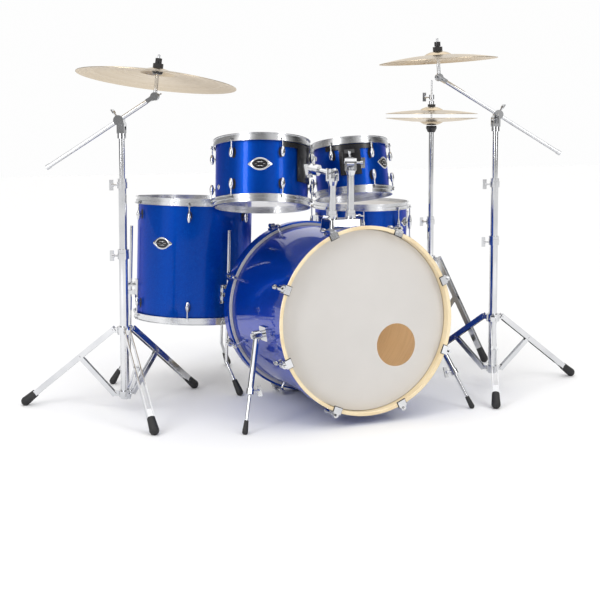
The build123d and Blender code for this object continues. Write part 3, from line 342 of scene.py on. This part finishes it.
def disc(plane, low, high, inner=0.0, outer=1.0):
    """Faces between two heights and two radii of an axis."""
    def test(centre):
        radius, height = local(plane, centre)
        return low < height < high and inner < radius < outer
    return test


def ball(middle, radius, inner=0.0):
    """Faces between two distances from a point."""
    return lambda centre: inner < (centre - middle).length < radius


def sleeve(start, end, radius):
    """Faces round the straight line between two points."""
    along = end - start
    length = along.length
    along = along.normalized()

    def test(centre):
        reach = (centre - start).dot(along)
        return 0.0 < reach < length and (centre - start - along * reach).length < radius
    return test


# A hair's width, by which a test passes or stops short of a face that lies on its limit.
HAIR = 0.0002
FOOT_LENGTH = 0.044
FOOT_REACH = 0.018
FOOT_HEIGHT = 0.0138
FOOT_END = 0.020
LEG_ROOT = 0.024
# Each tripod's spot, the reach and turn of its legs, and its upper collar's height and tube radius.
TRIPODS = {
    "ride_stand_base": (-0.6465, 0.467, 0.334, 31, 0.256, 0.0143),
    "crash_stand_base": (0.6286, 0.290, 0.334, 0, 0.239, 0.0143),
    "snare_stand_base": (*SNARE_SPOT, 0.240, 84, 0.190, 0.0143),
    "hihat_stand_base": (*HIHAT_SPOT, 0.230, 67, 0.386, 0.0127),
    "throne_base": (*THRONE_SPOT, 0.250, 90, 0.262, 0.0143),
}


def foot_rules(x, y, reach, phase, collar, core):
    """The three rubber feet of a tripod."""
    rules = []
    for turn in range(3):
        out = compass(phase + 120 * turn)
        top = place(x, y, collar) + out * (core + LEG_ROOT)
        ground = place(x, y, FOOT_HEIGHT) + out * reach
        along = (ground - top).normalized()
        start = ground - along * (FOOT_LENGTH - HAIR)
        rules.append((RUBBER_AND_LUG_SHADE, sleeve(start, ground + along * FOOT_END, FOOT_REACH)))
    return rules


def cymbal_plane(x, y, z, lean=0.0, toward=0.0):
    """A centre and axis with no shell round them."""
    return drum(x, y, z, 0.0, 0.0, 0.0, lean, toward)


RIDE = cymbal_plane(-0.543, 0.422, 1.056, 8.4, 23.4)
CRASH = cymbal_plane(0.434, 0.352, 1.133, 3.4, 157.4)
HAT_LOW = cymbal_plane(*HIHAT_SPOT, 0.936)
HAT_TOP = cymbal_plane(*HIHAT_SPOT, 0.954)
HAT_SEAT = cymbal_plane(*HIHAT_SPOT, 0.900)
HAT_CLUTCH = cymbal_plane(*HIHAT_SPOT, 0.981)
CYMBALS = {"ride_cymbal": RIDE, "crash_cymbal": CRASH, "hihat_bottom_cymbal": HAT_LOW,
           "hihat_top_cymbal": HAT_TOP}

for name in sorted(NODES):
    paint(name, CHROME)

for name, plane, top, bottom in (("tom12", TOM12, CLEAR, CLEAR), ("tom10", TOM10, CLEAR, CLEAR),
                                 ("floor_tom", FLOOR_TOM, CLEAR, CLEAR), ("snare", SNARE, COATED, CLEAR)):
    paint(f"{name}_shell", WRAP, (PLY, shell_inside(plane)))
    paint(f"{name}_heads", bottom, (top, upper_half(plane)))
    paint(f"{name}_hoops", HOOP_CHROME)
paint("bass_shell", BASS_WRAP, (PLY, shell_inside(BASS)))
paint("bass_heads", COATED)
# The hoops are wrapped outside and towards the shell; a claw's lining lies on the hoop's outside.
HOOP_NEAR = BASS_LENGTH / 2 - BASS_HOOP_DEPTH + 0.0005
paint("bass_hoops", MAPLE, (BASS_WRAP, disc(BASS, -1.0, 1.0, BASS_HOOP - 0.0005, BASS_HOOP + 0.0010)),
      (BASS_WRAP, disc(BASS, -HOOP_NEAR, HOOP_NEAR)))
paint("bass_claws", CHROME, (RUBBER_AND_LUG_SHADE, disc(BASS, -1.0, 1.0, BASS_HOOP - 0.0005, BASS_HOOP + 0.0009)))

for name, values in TRIPODS.items():
    paint(name, CHROME, *foot_rules(*values))
for name, plane in CYMBALS.items():
    paint(name, bronze(f"{name}_bronze", plane["centre"], plane["axis"]))
for name, plane, rise, under in (("ride", RIDE, 0.039, 0.0352), ("crash", CRASH, 0.033, 0.029)):
    paint(f"{name}_cymbal_tilter", CHROME,
          (FELT, disc(plane, under - 0.0099, under + 0.0001, 0.0, 0.018)),
          (FELT, disc(plane, rise + 0.0003, rise + 0.0151, 0.0, 0.017)),
          (PLASTIC, disc(plane, rise + 0.0151, rise + 0.0321, 0.0041, 0.02)),
          (PLASTIC, disc(plane, under - 0.0141, under - 0.0099, 0.0061, 0.0155)))
paint("hihat_upper_tube", CHROME, (FELT, disc(HAT_SEAT, 0.0001, 0.0075, 0.0, 0.021)),
      (PLASTIC, disc(HAT_SEAT, -0.0185, 0.0001, 0.0096, 0.023)))
paint("hihat_rod_and_clutch", CHROME, (FELT, disc(HAT_CLUTCH, 0.0002, 0.0091, 0.0056, 0.0155)),
      (FELT, disc(HAT_CLUTCH, -0.0121, -0.0043, 0.0056, 0.0145)))

SPUR_TIP = 0.0335
for side, name in ((-1, "spur_left"), (1, "spur_right")):
    paint(name, CHROME, (RUBBER_AND_LUG_SHADE, ball(place(0.390 * side, 0.033, 0.0078), SPUR_TIP)))
LEG_FEET = {"left": (-0.608, 0.807), "front": (-0.248, 0.481), "back": (-0.134, 0.940)}
LEG_TIP = 0.0475
for name, spot in LEG_FEET.items():
    paint(f"floor_tom_leg_{name}", CHROME, (RUBBER_AND_LUG_SHADE, ball(place(*spot, 0.0108), LEG_TIP)))

# The black suspension plates lie within 7 mm of the shells.
PLATE_OUT = 0.0070
for name, plane in (("tom12_arm", TOM12), ("tom10_arm", TOM10)):
    paint(name, CHROME, (ENAMEL_AND_HOLE_SHADE, disc(plane, -1.0, 1.0, 0.0, plane["radius"] + PLATE_OUT + HAIR)))

paint("bass_pedal_frame", STEEL)
paint("bass_pedal_footboard", ALUMINIUM)
BEATER_UP = Vector((0.0, math.sin(math.radians(38)), math.cos(math.radians(38))))
BEATER_TIP = place(0.0, 0.562, 0.205) + BEATER_UP * 0.182
BEATER_RADIUS = 0.032
BEATER_BORE = 0.0045
paint("bass_pedal_beater", STEEL, (BEATER_FELT, ball(BEATER_TIP, BEATER_RADIUS, BEATER_BORE)))
paint("hihat_pedal", ALUMINIUM)
paint("snare_wires", STEEL)
BASKET_REACH = 0.196
BASKET_GRIP_HEIGHT = 0.462
BASKET_GRIP_RADIUS = 0.012


def basket_grip(tip):
    """The rubber on the end of one of the snare basket's arms."""
    return (RUBBER_AND_LUG_SHADE, lambda centre:
            centre.z > BASKET_GRIP_HEIGHT and (centre.xy - tip.xy).length < BASKET_GRIP_RADIUS)


paint("snare_basket", CHROME, *(
    basket_grip(place(*SNARE_SPOT, 0.447) + compass(SNARE_TURN + 120 * turn) * BASKET_REACH)
    for turn in range(3)))


# ---------------------------------------------------------------- pieces

def mesh_piece(name, shape, materials, body, smooth=True):
    """Turn a bmesh into an object that rides on a CAD body."""
    bmesh.ops.recalc_face_normals(shape, faces=shape.faces)
    mesh = bpy.data.meshes.new(name)
    shape.to_mesh(mesh)
    shape.free()
    for material in materials:
        mesh.materials.append(material)
    for face in mesh.polygons:
        face.use_smooth = smooth
    piece = bpy.data.objects.new(name, mesh)
    bpy.context.scene.collection.objects.link(piece)
    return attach(piece, body)


def strip(shape, lower, upper, material):
    """Quads between two closed rows of points."""
    for index in range(len(lower)):
        after = (index + 1) % len(lower)
        face = shape.faces.new((lower[index], lower[after], upper[after], upper[index]))
        face.material_index = material


def lathe(shape, origin, axis, outline, count=48, materials=None):
    """Turn an outline of (radius, height) points about an axis, with a material index for each span."""
    axis = axis.normalized()
    first = axis.orthogonal().normalized()
    second = axis.cross(first)
    rows = []
    for radius, height in outline:
        if radius == 0.0:
            rows.append([shape.verts.new(origin + axis * height)])
            continue
        rows.append([shape.verts.new(origin + axis * height
                                     + (first * math.cos(turn) + second * math.sin(turn)) * radius)
                     for turn in (2 * math.pi * step / count for step in range(count))])
    for index in range(len(rows) - 1):
        low, high = rows[index], rows[index + 1]
        material = materials[index] if materials else 0
        if len(low) == 1 and len(high) == 1:
            continue
        if len(low) == 1 or len(high) == 1:
            tip, ring = (low[0], high) if len(low) == 1 else (high[0], low)
            for step in range(count):
                face = shape.faces.new((tip, ring[step], ring[(step + 1) % count]))
                face.material_index = material
        else:
            strip(shape, low, high, material)
    return rows


def on_shell(plane, turn, height, lift):
    """A point on a drum's wrap: turn in radians from its badge, height along the axis, lift outward."""
    return (plane["centre"] + plane["axis"] * height
            + (plane["face"] * math.cos(turn) + plane["side"] * math.sin(turn)) * (plane["radius"] + lift))


def badge_outline(angle, half_width, half_height, wing):
    """An oval whose two ends draw out into small points."""
    across, up = math.cos(angle), math.sin(angle)
    return (across * (half_width + wing * abs(across) ** 10),
            up * half_height * (1.0 - 0.22 * abs(across) ** 4))


# The rings of a badge from its middle to its edge: half width, half height, wing, lift and material.
BADGE_RINGS = (
    (0.012, 0.0070, 0.0, 0.0019, 0), (0.0235, 0.0145, 0.0, 0.0017, 0), (0.0248, 0.0157, 0.0, 0.0016, 0),
    (0.0252, 0.0161, 0.0, 0.0024, 1), (0.0272, 0.0182, 0.0, 0.0027, 1), (0.0290, 0.0196, 0.0, 0.0020, 1),
    (0.0300, 0.0204, 0.0080, 0.0016, 1), (0.0304, 0.0208, 0.0092, 0.0010, 1),
    (0.0305, 0.0209, 0.0095, 0.00005, 1),
)
BADGE_FACE = moulded("badge_face", (0.012, 0.012, 0.014), 0.18, 900.0, 0.03)


def badge(name, plane, turn, height, body, size=1.0):
    """A plain oval maker's plate with a dark middle, bent round the shell."""
    shape = bmesh.new()
    middle = shape.verts.new(on_shell(plane, turn, height, 0.0019))
    last = None
    count = 72
    for half_width, half_height, wing, lift, material in BADGE_RINGS:
        row = []
        for step in range(count):
            around = 2 * math.pi * step / count
            across, up = badge_outline(around, half_width * size, half_height * size, wing * size)
            row.append(shape.verts.new(on_shell(plane, turn + across / plane["radius"], height + up, lift)))
        if last is None:
            for step in range(count):
                shape.faces.new((middle, row[step], row[(step + 1) % count])).material_index = material
        else:
            strip(shape, last, row, material)
        last = row
    # Three plain raised bars across the dark middle.
    for level, half in ((0.0062, 0.0105), (0.0, 0.0165), (-0.0062, 0.0105)):
        corners = []
        for across, up, lift in ((-half, -0.0009, 0.0018), (half, -0.0009, 0.0018), (half, 0.0009, 0.0018),
                                 (-half, 0.0009, 0.0018), (-half, -0.0006, 0.0024), (half, -0.0006, 0.0024),
                                 (half, 0.0006, 0.0024), (-half, 0.0006, 0.0024)):
            corners.append(shape.verts.new(on_shell(plane, turn + across * size / plane["radius"],
                                                    height + (level + up) * size, lift)))
        for ends in ((4, 5, 6, 7), (0, 1, 5, 4), (1, 2, 6, 5), (2, 3, 7, 6), (3, 0, 4, 7)):
            shape.faces.new([corners[end] for end in ends]).material_index = 1
    return mesh_piece(name, shape, [BADGE_FACE, CHROME], body)


def eyelet(name, plane, turn, height, body):
    """The rolled metal ring of a shell's air vent, with a black disc in its hole as painted shade."""
    out = plane["face"] * math.cos(turn) + plane["side"] * math.sin(turn)
    shape = bmesh.new()
    outline = [(0.0, -0.0006), (0.0036, -0.0006), (0.0037, 0.0004), (0.0042, 0.0016), (0.0055, 0.0022),
               (0.0072, 0.0017), (0.0082, 0.0006), (0.0083, -0.0003)]
    # The first two spans, the hole's floor and wall, are black: painted shade in the vent hole.
    lathe(shape, on_shell(plane, turn, height, 0.0), out, outline, 40, [1, 1, 0, 0, 0, 0, 0])
    return mesh_piece(name, shape, [CHROME, ENAMEL_AND_HOLE_SHADE], body)


LUG_INSET = 0.048
# The rings of a lug's dark pad, painted shade, from its middle to its edge: half width, half height and
# lift.
LUG_PAD_RINGS = ((0.0078, 0.0162, 0.0008), (0.0086, 0.0170, 0.0008), (0.0090, 0.0174, 0.0004),
                 (0.0091, 0.0175, 0.0))


def lug_shade_pads(name, plane, count, phase, body):
    """Thin dark pads under and round a drum's lugs: painted shade on the wrap."""
    shape = bmesh.new()
    level = plane["depth"] / 2 - LUG_INSET
    for step in range(count):
        turn = math.radians(phase + 360 / count * step)
        for height in (-level, level):
            last = None
            for wide, tall, lift in LUG_PAD_RINGS:
                row = [shape.verts.new(on_shell(plane, turn + wide * math.cos(around) / plane["radius"],
                                                height + tall * math.sin(around), lift))
                       for around in (2 * math.pi * part / 24 for part in range(24))]
                if last is None:
                    shape.faces.new(row)
                else:
                    strip(shape, last, row, 0)
                last = row
    return mesh_piece(name, shape, [RUBBER_AND_LUG_SHADE], body)


CLAW_PAD_HALF = 0.0150
CLAW_PAD_TIP = 0.2748
CLAW_PAD_BACK = BASS_HOOP + 0.0010
# The rows of a claw's pad from its foot to its crown: inset and height.
CLAW_PAD_ROWS = ((0.0, 0.0), (0.0, 0.0008), (0.0005, 0.0013), (0.0022, 0.0013))


def claw_gaskets(count, phase):
    """The thin black pads between the bass drum's claws and its hoops."""
    shape = bmesh.new()
    for step in range(count):
        turn = math.radians(phase + 360 / count * step)
        out = BASS["face"] * math.cos(turn) + BASS["side"] * math.sin(turn)
        across = BASS_AXIS.cross(out)
        for end in (-1, 1):
            rows = []
            for inset, height in CLAW_PAD_ROWS:
                level = BASS_CENTRE + BASS_AXIS * (end * (BASS_LENGTH / 2 + height))
                back, tip, wide = CLAW_PAD_BACK - inset, CLAW_PAD_TIP + inset, CLAW_PAD_HALF - inset
                rows.append([shape.verts.new(level + out * reach + across * aside) for reach, aside in (
                    (back, wide), (back, -wide), (tip, -wide), (tip, wide))])
            for lower, upper in zip(rows, rows[1:]):
                strip(shape, lower, upper, 0)
            shape.faces.new(rows[-1])
    return mesh_piece("bass_claw_gaskets", shape, [RUBBER_AND_LUG_SHADE], "kit", smooth=False)


claw_gaskets(*BASS_LUGS)
# Dark pads round the lugs of the toms and floor tom: painted shade on the wraps.
lug_shade_pads("tom12_lug_gaskets", TOM12, *TOM12_LUGS, "tom12")
lug_shade_pads("tom10_lug_gaskets", TOM10, *TOM10_LUGS, "tom10")
lug_shade_pads("floor_tom_lug_gaskets", FLOOR_TOM, *FLOOR_TOM_LUGS, "kit")
badge("tom12_badge", TOM12, 0.0, 0.010, "tom12")
badge("tom10_badge", TOM10, 0.0, 0.008, "tom10")
badge("floor_tom_badge", FLOOR_TOM, math.radians(-28), 0.060, "kit")
badge("snare_badge", SNARE, 0.0, 0.008, "snare", 0.85)
eyelet("tom12_vent", TOM12, math.radians(-64), -0.052, "tom12")
eyelet("tom10_vent", TOM10, math.radians(62), -0.045, "tom10")
eyelet("floor_tom_vent", FLOOR_TOM, math.radians(62), -0.03, "kit")
eyelet("snare_vent", SNARE, math.radians(38), 0.0, "snare")
eyelet("bass_vent", BASS, math.radians(262), 0.02, "kit")

# ---- throne: cushion, its board, the cast socket and the post ----
SEAT_AXIS = Vector((0.0, 0.0, 1.0))
SEAT_FLOOR = place(*THRONE_SPOT, 0.418)
SEAT_RADIUS = 0.1505
SEAT_TALL = 0.061
SEAT_EDGE = 0.013
# The cushion's cover is held below this height, and its stuffing may push it out by this much.
STAPLED = 0.009
SWELL = 0.0045


def cushion_outline():
    """The cushion's section from the middle of its underside round to the middle of its crown."""
    outline = [(0.0, 0.0)] + [(0.018 * step, 0.0) for step in range(1, 8)]
    outline += [(0.138, 0.0002), (0.1455, 0.0022), (0.1492, 0.0062), (0.1499, 0.0078)]
    outline += [(0.1487, 0.0092), (0.1498, 0.0108)]
    for step in range(1, 8):
        part = step / 8
        outline.append((SEAT_RADIUS + 0.0012 * math.sin(math.pi * part), 0.011 + part * 0.036))
    outline += [(0.1500, 0.0475), (0.1487, 0.0490), (0.1496, 0.0505)]
    for step in range(1, 6):
        turn = math.radians(90 * step / 6)
        outline.append((SEAT_RADIUS - SEAT_EDGE + SEAT_EDGE * math.cos(turn),
                        0.0505 + (SEAT_TALL - 0.004 - 0.0505) * math.sin(turn)))
    for step in range(0, 8):
        part = 1 - step / 8
        reach = (SEAT_RADIUS - SEAT_EDGE) * part
        outline.append((reach, SEAT_TALL - 0.004 * (reach / (SEAT_RADIUS - SEAT_EDGE)) ** 3))
    outline.append((0.0, SEAT_TALL))
    return outline


def throne_cushion():
    shape = bmesh.new()
    lathe(shape, SEAT_FLOOR, SEAT_AXIS, cushion_outline(), 120)
    bmesh.ops.recalc_face_normals(shape, faces=shape.faces)
    mesh = bpy.data.meshes.new("throne_cushion")
    shape.to_mesh(mesh)
    shape.free()
    mesh.materials.append(VINYL)
    piece = bpy.data.objects.new("throne_cushion", mesh)
    bpy.context.scene.collection.objects.link(piece)
    # Soft hollows where the cover is pulled to the board.
    for vertex in mesh.vertices:
        offset = vertex.co - SEAT_FLOOR
        around = math.atan2(offset.y, offset.x)
        reach = math.hypot(offset.x, offset.y) / SEAT_RADIUS
        if reach > 0.5:
            pull = 0.0007 * math.sin(around * 23) * math.sin(around * 7 + 1.3)
            pull += 0.0006 * math.sin(around * 41 + offset.z * 90)
            vertex.co.x += pull * math.cos(around) * reach
            vertex.co.y += pull * math.sin(around) * reach
        if offset.z > 0.05:
            vertex.co.z += 0.0009 * math.sin(offset.x * 47 + 0.5) * math.cos(offset.y * 39) * (1.1 - reach)
    start = [vertex.co.copy() for vertex in mesh.vertices]
    held = piece.vertex_groups.new(name="held")
    stapled = [vertex.index for vertex in mesh.vertices if vertex.co.z < SEAT_FLOOR.z + STAPLED]
    held.add(stapled, 1.0, "REPLACE")
    cloth = piece.modifiers.new("Cloth", "CLOTH")
    cloth.settings.use_pressure = True
    cloth.settings.uniform_pressure_force = 4.0
    cloth.settings.effector_weights.gravity = 0.0
    cloth.settings.vertex_group_mass = "held"
    cloth.settings.quality = 5
    scene = bpy.context.scene
    for step in range(1, 15):
        scene.frame_set(step)
    swollen = piece.evaluated_get(bpy.context.evaluated_depsgraph_get()).to_mesh()
    moved = [vertex.co.copy() for vertex in swollen.vertices]
    piece.modifiers.remove(cloth)
    piece.vertex_groups.remove(held)
    scene.frame_set(1)
    for vertex, rest, target in zip(mesh.vertices, start, moved):
        change = target - rest
        if change.length > SWELL:
            change *= SWELL / change.length
        vertex.co = rest + change
    smooth = piece.modifiers.new("Round", "SUBSURF")
    smooth.levels = smooth.render_levels = 1
    finished = bpy.data.meshes.new_from_object(piece.evaluated_get(bpy.context.evaluated_depsgraph_get()))
    piece.modifiers.clear()
    piece.data = finished
    for face in finished.polygons:
        face.use_smooth = True
    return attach(piece, "throne_seat")


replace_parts(throne_cushion(), "throne_seat")

under = bmesh.new()
lathe(under, SEAT_FLOOR, SEAT_AXIS, [(0.0, -0.0058), (0.062, -0.0058), (0.0685, -0.0052), (0.070, -0.0038),
                                     (0.070, -0.0004), (0.0, -0.0004)], 64)
mesh_piece("throne_board_plate", under, [ENAMEL_AND_HOLE_SHADE], "throne_seat")

socket = bmesh.new()
lathe(socket, SEAT_FLOOR, SEAT_AXIS,
      [(0.0125, -0.0445), (0.0185, -0.0445), (0.0192, -0.0438), (0.0196, -0.036), (0.0204, -0.026),
       (0.0216, -0.016), (0.0224, -0.0090), (0.0226, -0.0064), (0.0222, -0.0059), (0.0, -0.0059)], 64)
mesh_piece("throne_socket", socket, [GREY], "throne_seat")

post = bmesh.new()
lathe(post, SEAT_FLOOR, SEAT_AXIS,
      [(0.0, -0.2275), (0.0105, -0.2275), (0.0119, -0.2262), (0.0119, -0.040), (0.0, -0.040)], 64)
mesh_piece("throne_post", post, [CHROME], "throne_seat")


def post_hole(name, height, turn):
    """A rolled edge round one of the post's height-pin holes, with a black disc in the hole as painted
    shade.
    """
    out = compass(turn)
    shape = bmesh.new()
    outline = [(0.0, 0.0002), (0.0030, 0.0002), (0.0031, 0.0005), (0.0036, 0.0008), (0.0041, 0.0004),
               (0.0042, -0.0006)]
    # The first two spans, the hole's floor and wall, are black: painted shade in the pin hole.
    lathe(shape, SEAT_FLOOR + out * 0.0117 - SEAT_AXIS * height, out, outline, 28, [1, 1, 0, 0, 0])
    return mesh_piece(name, shape, [CHROME, ENAMEL_AND_HOLE_SHADE], "throne_seat")


for step, height in enumerate((0.052, 0.068)):
    post_hole(f"throne_post_hole_{step}", height, 247)
    post_hole(f"throne_post_hole_back_{step}", height, 67)


# ---------------------------------------------------------------- floor, light and camera

def floor_plane():
    shape = bmesh.new()
    bmesh.ops.create_grid(shape, x_segments=4, y_segments=4, size=14.0)
    mesh = bpy.data.meshes.new("floor")
    shape.to_mesh(mesh)
    shape.free()
    floor = bpy.data.objects.new("floor", mesh)
    bpy.context.scene.collection.objects.link(floor)
    paper = Recipe("floor_paper", (0.90, 0.902, 0.91), 0.8, Specular_IOR_Level=0.2)
    paper.bump(paper.noise(6.0, 3.0), 0.02, 0.002)
    mesh.materials.append(paper.material)


def softbox(name, spot, target, width, height, power, colour=(1.0, 1.0, 1.0)):
    light = bpy.data.lights.new(name, "AREA")
    light.shape = "RECTANGLE"
    light.size = width
    light.size_y = height
    light.energy = power
    light.color = colour
    lamp = bpy.data.objects.new(name, light)
    lamp.location = spot
    lamp.rotation_euler = (Vector(target) - Vector(spot)).to_track_quat("-Z", "Y").to_euler()
    bpy.context.scene.collection.objects.link(lamp)


def glow_inside():
    """A faint light in the bass drum, for what its port shows."""
    light = bpy.data.lights.new("inside", "POINT")
    light.energy = 1.0
    light.shadow_soft_size = 0.08
    lamp = bpy.data.objects.new("inside", light)
    lamp.location = BASS_CENTRE
    bpy.context.scene.collection.objects.link(lamp)


def studio():
    """A white studio: plain white to the eye, with darker bands to reflect behind the camera."""
    world = bpy.data.worlds.new("studio")
    bpy.context.scene.world = world
    world.use_nodes = True
    tree = world.node_tree
    back = tree.nodes["Background"]
    where = tree.nodes.new("ShaderNodeTexCoord")
    split = tree.nodes.new("ShaderNodeSeparateXYZ")
    turn = tree.nodes.new("ShaderNodeMath")
    turn.operation = "ARCTAN2"
    part = tree.nodes.new("ShaderNodeMapRange")
    part.inputs["From Min"].default_value = -math.pi
    part.inputs["From Max"].default_value = math.pi
    bands = tree.nodes.new("ShaderNodeValToRGB")
    stops = ((0.0, 0.3), (0.02, 0.9), (0.035, 1.7), (0.05, 0.9), (0.08, 0.5), (0.12, 0.45), (0.16, 0.15),
             (0.21, 0.10), (0.25, 0.7), (0.28, 0.8), (0.30, 0.35), (0.325, 0.35), (0.345, 0.8), (0.38, 0.2),
             (0.44, 0.0), (0.50, 0.0), (0.56, 0.9), (0.66, 1.0), (0.74, 0.9), (0.79, 0.3), (0.84, 0.3),
             (0.90, 0.3), (0.96, 0.2), (1.0, 0.3))
    bands.color_ramp.interpolation = "B_SPLINE"
    while len(bands.color_ramp.elements) < len(stops):
        bands.color_ramp.elements.new(0.5)
    for element, (position, grey) in zip(bands.color_ramp.elements, stops):
        element.position = position
        element.color = (grey, grey * 0.995, grey * 0.985, 1.0)
    rise = tree.nodes.new("ShaderNodeMapRange")
    rise.inputs["From Min"].default_value = 0.50
    rise.inputs["From Max"].default_value = 0.70
    mix = tree.nodes.new("ShaderNodeMix")
    mix.data_type = "RGBA"
    mix.inputs[7].default_value = (1.58, 1.57, 1.55, 1.0)
    seen = tree.nodes.new("ShaderNodeLightPath")
    final = tree.nodes.new("ShaderNodeMix")
    final.data_type = "RGBA"
    final.inputs[7].default_value = (1.04, 1.04, 1.04, 1.0)
    link = tree.links.new
    link(where.outputs["Generated"], split.inputs[0])
    link(split.outputs["Y"], turn.inputs[0])
    link(split.outputs["X"], turn.inputs[1])
    link(turn.outputs[0], part.inputs["Value"])
    link(part.outputs["Result"], bands.inputs["Fac"])
    link(split.outputs["Z"], rise.inputs["Value"])
    link(rise.outputs["Result"], mix.inputs[0])
    link(bands.outputs["Color"], mix.inputs[6])
    link(mix.outputs[2], final.inputs[6])
    link(seen.outputs["Is Camera Ray"], final.inputs[0])
    link(final.outputs[2], back.inputs["Color"])
    back.inputs["Strength"].default_value = 0.95


def camera():
    lens = bpy.data.cameras.new("camera")
    lens.lens = 67.2
    lens.sensor_width = 36.0
    lens.shift_y = -0.15
    lens.clip_end = 60.0
    eye = bpy.data.objects.new("camera", lens)
    eye.location = (-1.506, -3.7635, 0.945)
    pitch = math.radians(4.8)
    look = Vector((0.384 * math.cos(pitch), 0.923 * math.cos(pitch), -math.sin(pitch)))
    eye.rotation_euler = look.to_track_quat("-Z", "Y").to_euler()
    bpy.context.scene.collection.objects.link(eye)
    bpy.context.scene.camera = eye


floor_plane()
studio()
softbox("key", (-3.4, -2.0, 1.9), (0.0, 0.0, 0.6), 0.7, 2.6, 42.0)
softbox("fill", (1.6, -3.6, 1.9), (0.0, 0.0, 0.6), 0.7, 2.6, 26.0)
glow_inside()
camera()
bpy.context.scene.view_settings.view_transform = "Standard"
